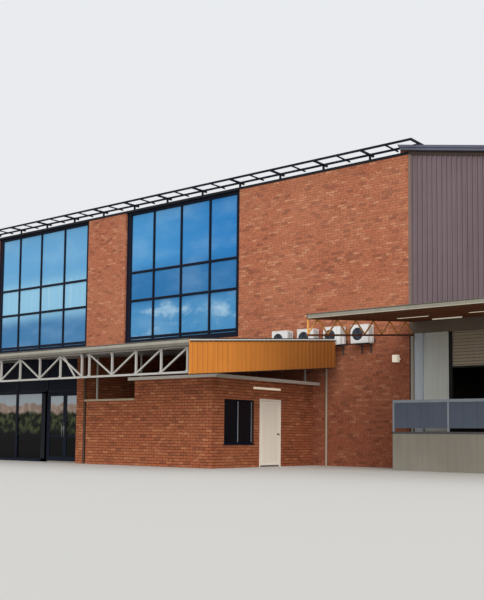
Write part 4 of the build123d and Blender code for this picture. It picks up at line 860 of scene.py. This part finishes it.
def annex_brickwork():
    """Bond on the annex's front, right and left walls, and on the front, back and end of the
    screen wall across the yard, with the gap over that wall left open."""
    face = partial(brick_face, ANNEX_BOND)
    wall_low, wall_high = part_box("annex_walls")
    screen_low, screen_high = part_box("yard_screen_wall")
    window_low, window_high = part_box("annex_window_frame")
    head_low, head_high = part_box("annex_door_head")
    right_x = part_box("annex_side_walls")[1].x
    left_x, front_y, back_y, top = wall_low.x, wall_low.y, wall_high.y, wall_high.z
    screen_x, screen_y, screen_top = screen_low.x, screen_high.y, screen_high.z
    coping = 0.06
    gap = (0, left_x - screen_x, screen_top, top + COURSE)
    openings = [
        (window_low.y - front_y, window_high.y - front_y, window_low.z, window_high.z),
        (head_low.y - front_y, head_high.y - front_y, 0, head_low.z)]
    brick_skin("annex_brickwork", [
        face((screen_x, front_y), FRONT, right_x - screen_x, 0, top, from_right=True, openings=[gap]),
        face((right_x, front_y), RIGHT, back_y - front_y, 0, top, half_first=1, openings=openings),
        face((left_x, back_y), LEFT, back_y - screen_y, 0, top, half_first=1),
        face((left_x, screen_y), LEFT, screen_y - front_y, screen_top + coping, top, from_right=True),
        face((left_x, screen_y), REAR, left_x - screen_x, 0, screen_top),
        face((screen_x, screen_y), LEFT, screen_y - screen_low.y, 0, screen_top, 1, from_right=True),
    ], ANNEX_BRICK)


def shop_brickwork():
    """Bond on the shopfront's side walls, whose outer faces follow the canopy's slope. Each
    inner face shows only as far as the frame."""
    face = partial(brick_face, ANNEX_BOND)
    frame_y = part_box("shopfront_frame")[0].y
    faces = []
    for (low, high), outward in zip(solid_boxes("shop_side_walls"), (LEFT, RIGHT)):
        depth = high[1] - low[1]
        reveal = frame_y - low[1]
        front_top = high[2] - depth * tan(radians(CANOPY_SLOPE))
        faces.append(face((low[0], low[1]), FRONT, high[0] - low[0], 0, front_top))
        if outward == RIGHT:
            faces.append(face((high[0], low[1]), RIGHT, depth, 0, (front_top, high[2]), 1))
            faces.append(face((low[0], frame_y), LEFT, reveal, 0, front_top, 1, from_right=True))
        else:
            faces.append(face((low[0], high[1]), LEFT, depth, 0, (high[2], front_top), 1, from_right=True))
            faces.append(face((high[0], low[1]), RIGHT, reveal, 0, front_top, 1))
    brick_skin("shop_wall_brickwork", faces, ANNEX_BRICK)


# Roofs

def roof_plane(axis, place, height, slope):
    """The top of a roof for any x and y: its height at a place along X (0) or Y (1), plus the
    distance from there times the tangent of its slope in degrees."""
    return lambda x, y: height + ((x, y)[axis] - place) * tan(radians(slope))


CANOPY_TOP = roof_plane(1, -7.34, 3.43, CANOPY_SLOPE)
AWNING_FRONT = -5.80
AWNING_TOP = roof_plane(1, AWNING_FRONT, 4.065, 5.3)
WAREHOUSE_TOP = roof_plane(0, 0.15, 9.89, -WAREHOUSE_SLOPE)
OFFICE_TOP = roof_plane(1, -0.15, 9.81, -2.0)


def purlin(x0, x1, y, drop, top_at):
    """A purlin along X, 50 mm wide and 55 mm high, whose top lies a drop below a roof's top."""
    return on_plane(box_arrays((x0, y, -drop - 0.055), (x1, y + 0.05, -drop)), top_at)


def roof_sheets():
    """Corrugated sheets over the canopy, the awning and the warehouse, purlins under the first
    two, and the laps of the office roof's felt, one to each roll."""
    low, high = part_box("canopy_roof")
    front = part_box("gutters")[0].y
    notch_x, notch_y = CANOPY_NOTCH
    over_gutter = front + 0.002
    piece_from("canopy_sheets", [
        wave_sheet((low.x, notch_x), (over_gutter, high.y), CANOPY_TOP, 0, CANOPY_LIFT),
        wave_sheet((notch_x, high.x), (over_gutter, notch_y), CANOPY_TOP, 0, CANOPY_LIFT),
    ], ROOF_SHEET)
    over_dock, dock_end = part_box("awning_roof")
    sheet = wave_sheet((over_dock.x, dock_end.x), (AWNING_FRONT, dock_end.y), AWNING_TOP, 0)
    piece_from("awning_sheets", [sheet], AWNING_SHEET)
    ridge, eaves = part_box("warehouse_roof")
    sheet = wave_sheet((ridge.x + 0.2, eaves.x), (ridge.y + 0.01, eaves.y - 0.01), WAREHOUSE_TOP, 1)
    piece_from("warehouse_sheets", [sheet], ROOF_SHEET)

    behind = -0.2
    purlins = [
        purlin(low.x, high.x if y < notch_y else notch_x, y, 0.055, CANOPY_TOP)
        for y in np.arange(front + 0.6, behind, 0.95)]
    piece_from("canopy_purlins", purlins, PURLIN)
    purlins = [
        purlin(over_dock.x + 0.07, dock_end.x - 0.07, y, 0.07, AWNING_TOP)
        for y in np.arange(AWNING_FRONT + 0.4, behind, 0.85)]
    piece_from("awning_purlins", purlins, CHORD)

    low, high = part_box("office_roof")
    roll, lap = 1.0, 0.09
    laps = [
        on_plane(box_arrays((x, 0.2, -0.002), (x + lap, high.y, 0.004)), OFFICE_TOP)
        for x in np.arange(low.x + roll, high.x - 0.3, roll)]
    piece_from("felt_laps", laps, FELT)


def fascia_trims():
    """Capping, the dark line below it and the foot trim, along each ribbed end of the canopy."""
    low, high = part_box("canopy_fascias")
    lip = 0.14
    caps, lines = [], []
    for x in (low.x + 0.02, high.x - 0.02):
        for drop, height, width, group in (
                (0.0184, 0.036, 0.050, caps), (0.0504, 0.024, 0.048, lines), (0.9184, 0.024, 0.048, lines)):
            start = (x, low.y + 0.004, CANOPY_TOP(x, low.y + lip) - drop)
            end = (x, high.y, CANOPY_TOP(x, high.y + lip) - drop)
            group.append(bar_arrays(start, end, width, height))
    piece_from("fascia_cappings", caps, TRIM_WHITE)
    piece_from("fascia_dark_trims", lines, TRIM)


def canopy_steelwork():
    """Gusset plates with bolt heads at the truss's nodes, and straps that hold the gutter."""
    low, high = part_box("canopy_truss")
    places = [high.x - TRUSS_FIRST - TRUSS_PANEL * count for count in range(TRUSS_RIGHT_PANELS + 1)]
    first_left = places[-1] - TRUSS_GAP
    places += [first_left - TRUSS_PANEL * count for count in range(TRUSS_LEFT_PANELS + 1)]
    plates, bolts = [], []
    for x in places:
        for z0, z1 in ((low.z + 0.005, low.z + 0.085), (high.z - 0.19, high.z - 0.125)):
            plates.append(((x - 0.055, low.y - 0.006, z0), (x + 0.055, low.y + 0.002, z1)))
            for bolt_x in (x - 0.036, x + 0.036):
                foot = np.array([bolt_x, low.y - 0.005, (z0 + z1) / 2])
                bolts.append(round_bar(foot, foot - (0, 0.007, 0), 0.010, 6))
    boxes_piece("truss_gussets", plates, CANOPY_STEEL)
    piece_from("truss_bolts", bolts, SATIN)
    lip_y, lip_z = -7.470, 3.436
    straps = [
        ((x - 0.015, lip_y, lip_z), (x + 0.015, low.y - 0.004, lip_z + 0.006))
        for x in np.arange(high.x - 0.5, low.x, -TRUSS_PANEL)]
    boxes_piece("gutter_straps", straps, GUTTER)


# Windows and doors

def window_details():
    """Beads round each pane of the tall windows, in front of the glass, and sill flashings."""
    half = WINDOW_BAR / 2
    beads, sills = [], []
    for low, high in solid_boxes("upper_window_frames"):
        bars = WINDOW_BARS[0] if high[0] < WINDOW_PIER[1] else WINDOW_BARS[1]
        outward = -1 if low[1] < 0 else 1
        wall = FRONT_FACE if outward < 0 else REAR_FACE
        middle = (low[1] + high[1]) / 2
        bar_x = [low[0] + LEFT_JAMB - half, *(high[0] - place for place in bars[::-1])]
        bar_x.append(high[0] - RIGHT_JAMB + half)
        bar_z = [low[2] + WINDOW_SILL - half]
        bar_z += [z for z in WINDOW_LEVELS if z - low[2] > WINDOW_SILL + WINDOW_BAR]
        bar_z.append(high[2] - WINDOW_HEAD + half)
        y0, y1 = sorted((middle + outward * 0.012, middle + outward * 0.026))
        for a, b in zip(bar_x[:-1], bar_x[1:]):
            for c, d in zip(bar_z[:-1], bar_z[1:]):
                x0, x1, z0, z1 = a + half, b - half, c + half, d - half
                beads += [
                    ((x0, y0, z0), (x0 + BEAD, y1, z1)), ((x1 - BEAD, y0, z0), (x1, y1, z1)),
                    ((x0, y0, z0), (x1, y1, z0 + BEAD)), ((x0, y0, z1 - BEAD), (x1, y1, z1))]
        y0, y1 = sorted((wall + outward * 0.02, middle + outward * 0.05))
        sills.append(((low[0] + 0.004, y0, low[2] - 0.004), (high[0] - 0.004, y1, low[2] + 0.012)))
    boxes_piece("window_beads", beads, TRIM)
    boxes_piece("window_sill_flashings", sills, TRIM)


def annex_details():
    """Lines and sill of the window, drip edges of the slab, and for the door the edges of its
    frame, strips round its leaf and a threshold."""
    low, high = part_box("annex_window_frame")
    wall_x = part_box("annex_side_walls")[1].x
    bar = low.y + 0.70
    boxes_piece("annex_window_lines", [
        ((high.x - 0.006, y0, low.z + 0.05), (high.x + 0.004, y1, high.z - 0.05)) for y0, y1 in (
            (bar - 0.016, bar + 0.016), (high.y - 0.070, high.y - 0.050), (low.y + 0.050, low.y + 0.062))
    ], ALUMINIUM)
    boxes_piece("annex_window_sill", [
        ((high.x - 0.01, low.y - 0.02, low.z - 0.03), (wall_x + 0.035, high.y + 0.02, low.z + 0.002))
    ], NAVY)

    low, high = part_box("annex_roof")
    front_y, right_x, rim = low.y - 0.006, high.x + 0.006, 0.012
    z0, z1 = low.z - 0.012, low.z + 0.018
    boxes_piece("slab_drip_edges", [
        ((low.x, front_y, z0), (right_x, low.y + rim, z1)),
        ((high.x - rim, front_y, z0), (right_x, high.y, z1)),
    ], SLAB)

    low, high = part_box("annex_door_frame")
    x0, x1, edge = high.x - 0.002, high.x + 0.008, 0.030
    boxes_piece("door_frame_edges", [
        ((x0, low.y, low.z), (x1, low.y + edge, high.z)),
        ((x0, high.y - edge, low.z), (x1, high.y, high.z)),
        ((x0, low.y + edge, high.z - edge), (x1, high.y - edge, high.z)),
    ], EDGE_CREAM)
    threshold = ((low.x, low.y + 0.06, 0.0), (high.x - 0.01, high.y - 0.06, 0.03))

    low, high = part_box("annex_door")
    x0, x1, edge = high.x - 0.009, high.x - 0.004, 0.05
    y0, z0, z1 = low.y + 0.03, low.z + 0.01, high.z - 0.01
    boxes_piece("door_edge_strips", [
        ((x0, y0, z0), (x1, y0 + edge, z1)),
        ((x0, high.y - edge, z0), (x1, high.y - 0.005, z1)),
        ((x0, y0 + edge, high.z - edge), (x1, high.y - edge, z1)),
        ((x0, y0 + edge, z0), (x1, high.y - edge, z0 + edge)),
    ], EDGE_CREAM, "annex_leaf")
    boxes_piece("door_threshold", [threshold], SATIN)


def shop_details():
    """Upright strips on the spandrel over each mullion and at its right end, a line along its
    foot, a cover beside the right jamb, and a pull bar on each leaf."""
    low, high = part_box("shopfront_frame")
    spandrel_low, spandrel_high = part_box("shop_spandrel")
    foot, face_y = spandrel_low.z, spandrel_low.y + 0.004
    end_post, strip, jamb_cover = 0.03, 0.04, 0.31
    bay = (high.x - low.x - 2 * end_post) / SHOP_BAYS
    mullions = [low.x + end_post + bay * count for count in range(SHOP_BAYS + 1)]
    spans = [(x - strip, x + strip) for x in mullions] + [(-9.39, -9.30)]
    strips = [((x0, low.y, foot), (x1, face_y, SPANDREL_HEAD)) for x0, x1 in spans]
    strips.append(((low.x, low.y, foot), (spandrel_high.x, face_y, foot + 0.05)))
    strips.append(((high.x - jamb_cover, low.y, 0.0), (high.x - 0.001, low.y + 0.03, foot)))
    boxes_piece("spandrel_strips", strips, TRIM)
    for side, x in (("left", DOORS_MEET - 0.05), ("right", DOORS_MEET + 0.05)):
        leaf_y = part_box("shop_door_" + side)[0].y
        bar_y = leaf_y - 0.05
        parts = [round_bar((x, bar_y, 0.85), (x, bar_y, 1.35), 0.014, 12)]
        parts += [round_bar((x, leaf_y + 0.008, z), (x, bar_y, z), 0.009, 10) for z in (0.92, 1.28)]
        piece_from("pull_bar_" + side, parts, SATIN, "shop_leaf_" + side, True)


# Services on the wall

def fan_blade(hub_x, back, hub_z, turn):
    """A swept blade: at swing s and radius r it stands at the angle turn + s (0.75 + r) about
    the hub, and comes forward from 4 to 14 mm as s grows."""
    radius, swing = np.meshgrid(np.linspace(0.038, 0.178, 6), np.linspace(0, BLADE_SWEEP, 7))
    angle = turn + swing * (0.75 + radius)
    lift = 0.004 + 0.010 * swing / BLADE_SWEEP
    grid = np.stack([hub_x + radius * np.cos(angle), back - lift, hub_z + radius * np.sin(angle)], -1)
    return shell_arrays(grid, grid - (0, 0.002, 0))


def condenser_details():
    """A rail under the condensers, and on each a fan behind a wire grille with a dark disc of painted shade
    in its well, a lid, seams, louvres and a valve cover at its right end, and two coolant lines into the
    wall."""
    case = "condenser_enamel"
    finishes = {
        "fan_grilles": (FAN_DARK, case, True), "fan_well_shades": (FAN_WELL_SHADE, case, False),
        "fan_blades": (FAN_DARK, case, True), "fan_hubs": (FAN_DARK, case, True),
        "condenser_lids": (WHITE_CASE, case, False), "condenser_seams": (ALUMINIUM, case, False),
        "condenser_louvres": (ALUMINIUM, case, False), "valve_covers": (WHITE_CASE, case, False),
        "coolant_lines": (BRACKET, "pipe_plastic", False)}
    parts = {name: [] for name in finishes}

    def add(name, *arrays):
        parts[name] += arrays

    for (x0, front, z0), (x1, rear, z1) in solid_boxes("condensers"):
        centre = np.array([x0 + FAN_FROM_LEFT, front, (z0 + z1) / 2])
        back = front + FAN_RECESS - 0.001
        well = np.array([centre[0], back, centre[2]])
        # A dark disc of painted shade at the back of the fan's well.
        add("fan_well_shades", round_bar(well, well - (0, 0.003, 0), 0.198, 32))
        for radius in GRILLE_RADII:
            add("fan_grilles", hoop_arrays(centre - (0, 0.002, 0), FRONT, radius, GRILLE_WIRE, 32, 5))
        for angle in np.arange(8) * pi / 4:
            spoke = np.array([cos(angle), 0, sin(angle)])
            add("fan_grilles", round_bar(centre + 0.03 * spoke, centre + 0.2 * spoke, GRILLE_WIRE, 5))
        profile = [(0, 0), (0, 0.04), (0.012, 0.036), (0.014, 0)]
        add("fan_hubs", turned_arrays(well - (0, 0.002, 0), FRONT, profile, 20))
        for turn in np.arange(3) * 2 * pi / 3:
            add("fan_blades", fan_blade(centre[0], back, centre[2], turn))
        lid_z = z1 - 0.022
        add("condenser_lids", box_arrays((x0, front - 0.004, lid_z), (x1 + 0.004, rear, z1 + 0.003)))
        seam_x, seam_z, seam, proud = x0 + 0.50, z0 + 0.028, 0.004, front - 0.0015
        add("condenser_seams",
            box_arrays((seam_x, proud, z0 + 0.01), (seam_x + seam, front + 0.002, lid_z)),
            box_arrays((x0 + 0.01, proud, seam_z), (x1, front + 0.002, seam_z + seam)))
        side = x1 - 0.002
        for top in z1 - 0.06 - np.arange(10) * 0.026:
            corner = (x1 + 0.005, rear - 0.06, top)
            add("condenser_louvres", box_arrays((side, front + 0.05, top - 0.008), corner))
        corner = (x1 + 0.028, rear - 0.03, z0 + 0.24)
        add("valve_covers", box_arrays((side, rear - 0.15, z0 + 0.03), corner))
        for z in (z0 + 0.08, z0 + 0.14):
            into_wall = (x1 + 0.012, FRONT_FACE - 0.002, z)
            add("coolant_lines", round_bar((x1 + 0.012, rear - 0.04, z), into_wall, 0.011, 8))
    low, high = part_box("condensers")
    boxes_piece("condenser_rail", [
        ((low.x - 0.03, low.y - 0.004, low.z - 0.030), (high.x + 0.03, low.y + 0.030, low.z - 0.001))
    ], TRIM)
    for name, (material, slot, smooth) in finishes.items():
        piece_from(name, parts[name], material, smooth=smooth)


def pipe_details():
    """Sockets and clips round each downpipe: sleeves with a step at each end."""
    sockets, clips = [], []
    for low, high in solid_boxes("downpipes"):
        x, y = (low[0] + high[0]) / 2, (low[1] + high[1]) / 2
        radius = (high[0] - low[0]) / 2
        inner = radius - 0.001
        for places, outer, straight, length, group in (
                ((1.9, high[2] - 0.25), radius + 0.006, 0.07, 0.08, sockets),
                ((0.45, 1.45, 2.45, 3.3), radius + 0.004, 0.03, 0.03, clips)):
            profile = [(0, inner), (0, outer), (straight, outer), (length, inner)]
            group += [turned_arrays((x, y, z), (0, 0, 1), profile, 20) for z in places]
    piece_from("pipe_sockets", sockets, PIPE)
    piece_from("pipe_clips", clips, PIPE)


# Warehouse end

def cladding_trims():
    """A flashing at the corner with the brick wall, and along the verge a band of painted shadow under the
    cap and a line.
    """
    low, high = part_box("clad_front")
    boxes_piece("corner_flashing", [
        ((low.x - 0.02, low.y - 0.014, low.z), (low.x + 0.07, low.y + 0.004, high.z - 0.05))
    ], FLASHING)

    def along_verge(name, x0, x1, y, z, width, height, material):
        end_z = z - (x1 - x0) * tan(radians(WAREHOUSE_SLOPE))
        piece_from(name, [bar_arrays((x0, y, z), (x1, y, end_z), width, height)], material)

    # A dark band of painted shadow on the cladding under the verge cap.
    along_verge("cap_shadow_band", low.x, high.x, low.y - 0.008, high.z - 0.085, 0.020, 0.11, CAP_SHADOW)
    cap_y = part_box("verge_cap")[0].y - 0.003
    along_verge("cap_line", -0.12, high.x + 0.1, cap_y, 9.955, 0.010, 0.012, TRIM)


def dock_details():
    """Edges of the panels beside the shutter, the joints between its slats and its foot,
    plates and ribs in the guard, and an angle along the platform's edge."""
    left_column, right_column = solid_boxes("dock_columns")
    guide_low, guide_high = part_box("shutter_guides")
    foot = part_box("dock_platform")[1].z + 0.05
    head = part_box("dock_header")[0].z
    panel_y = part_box("dock_panels")[0].y
    y0, y1, edge = panel_y - 0.008, panel_y + 0.002, 0.035
    edges = []
    for x0, x1 in ((left_column[1][0], guide_low.x), (guide_high.x, right_column[0][0])):
        edges += [
            ((x0, y0, foot), (x0 + edge, y1, head)), ((x1 - edge, y0, foot), (x1, y1, head)),
            ((x0, y0, head - edge), (x1, y1, head)), ((x0, y0, foot), (x1, y1, foot + 0.05))]
    boxes_piece("dock_panel_edges", edges, PANEL_EDGE)

    low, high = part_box("shutter_curtain")
    slat = 0.095
    boxes_piece("shutter_joints", [
        ((low.x + 0.01, low.y - 0.003, z - 0.006), (high.x - 0.01, low.y + 0.004, z + 0.006))
        for z in np.arange(low.z + slat, high.z, slat)
    ], SLAT_LINE)
    boxes_piece("shutter_foot", [
        ((low.x + 0.005, low.y - 0.012, low.z), (high.x - 0.005, high.y + 0.004, low.z + 0.055))
    ], GUIDE)

    low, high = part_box("dock_guard")
    bays, post = 4, 0.05
    pitch = (high.x - low.x - post) / bays
    width = pitch - post
    middle, z0, z1 = (low.y + high.y) / 2, low.z + 0.10, high.z - 0.08
    plates = []
    for x0 in low.x + post + pitch * np.arange(bays):
        plates.append(((x0, middle - 0.008, z0), (x0 + width, middle + 0.008, z1)))
        for x in x0 + width * np.array([0.25, 0.5, 0.75]):
            plates.append(((x - 0.006, middle - 0.012, z0), (x + 0.006, middle + 0.012, z1)))
    boxes_piece("guard_plates", plates, PLATE)

    low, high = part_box("dock_platform")
    boxes_piece("dock_edge_angle", [
        ((low.x, low.y - 0.006, high.z - 0.06), (high.x, low.y + 0.002, high.z + 0.001))
    ], BRACKET)


for make in (
        office_brickwork, annex_brickwork, shop_brickwork, roof_sheets, fascia_trims, canopy_steelwork,
        window_details, annex_details, shop_details, condenser_details, pipe_details, cladding_trims,
        dock_details):
    make()


# Stage, light and camera

def pale_stage():
    """A plain pale floor. Only the camera and reflections see its full paleness, so that it
    throws little light up under the roofs."""
    reach = 260.0
    side = np.linspace(-reach, reach, 3)
    grid_x, grid_y = np.meshgrid(side, side)
    points = np.stack([grid_x, grid_y, np.full(grid_x.shape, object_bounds()[0].z - 0.001)], -1)
    mesh = quad_mesh("floor", points.reshape(-1, 3), grid_quads(np.arange(9).reshape(3, 3)))
    material, tree, shader = start_material("pale_floor", Roughness=0.9)
    seen = add_node(tree, "ShaderNodeLightPath")
    shown = maths(tree, "MAXIMUM", seen["Is Camera Ray"], seen["Is Glossy Ray"])
    tree.links.new(blend(tree, shown, "b4b0a9", "d9d8d4"), shader["Base Color"])
    mesh.materials.append(material)
    add_object("floor", mesh)


def soft_light():
    """An even pale world, paler where the camera, reflections and glass see it, and one broad,
    soft sun from the camera's side."""
    world = bpy.data.worlds.new("pale_world")
    bpy.context.scene.world = world
    world.use_nodes = True
    tree = world.node_tree
    tree.nodes.clear()
    seen = add_node(tree, "ShaderNodeLightPath")
    through = maths(tree, "MAXIMUM", seen["Is Glossy Ray"], seen["Is Transmission Ray"])
    direct = maths(tree, "MAXIMUM", seen["Is Camera Ray"], through)
    ambient = add_node(tree, "ShaderNodeBackground", {"Color": "f4f6fa", "Strength": 0.70})
    shown = add_node(tree, "ShaderNodeBackground", {"Color": "e9ebee", "Strength": 1.0})
    both = add_node(tree, "ShaderNodeMixShader", {0: direct, 1: ambient[0], 2: shown[0]})
    add_node(tree, "ShaderNodeOutputWorld", {"Surface": both[0]})

    lamp = bpy.data.lights.new("broad_sun", "SUN")
    lamp.energy = 2.5
    lamp.angle = radians(55)
    lamp.color = (1.0, 0.97, 0.92)
    toward = Vector((0.62, -0.80, 0.44)).normalized()
    add_object("broad_sun", lamp).rotation_euler = toward.to_track_quat("Z", "Y").to_euler()


def photo_camera():
    """The camera of the photograph: yaw, pitch and roll in turn, then the shift of its frame."""
    yaw = radians(CAMERA_YAW)
    pitch = radians(CAMERA_PITCH)
    roll = radians(CAMERA_ROLL)
    forward = Vector((-sin(yaw) * cos(pitch), cos(yaw) * cos(pitch), sin(pitch)))
    right = Vector((cos(yaw), sin(yaw), 0))
    up = right.cross(forward)
    turned_right = cos(roll) * right + sin(roll) * up
    turned_up = -sin(roll) * right + cos(roll) * up
    matrix = Matrix((turned_right, turned_up, -forward)).transposed().to_4x4()
    matrix.translation = Vector(CAMERA_PLACE)
    data = bpy.data.cameras.new("photo_camera")
    data.sensor_fit = "AUTO"
    data.sensor_width = 36.0
    longest = max(PHOTO_SIZE)
    data.lens = FOCAL_PIXELS * data.sensor_width / longest
    data.shift_x = (PHOTO_SIZE[0] / 2 - CENTRE_PIXEL[0]) / longest
    data.shift_y = (CENTRE_PIXEL[1] - PHOTO_SIZE[1] / 2) / longest
    data.clip_end = 1000.0
    camera = add_object("photo_camera", data)
    camera.matrix_world = matrix
    bpy.context.scene.camera = camera


pale_stage()
soft_light()
photo_camera()
bpy.context.scene.view_settings.view_transform = "Standard"
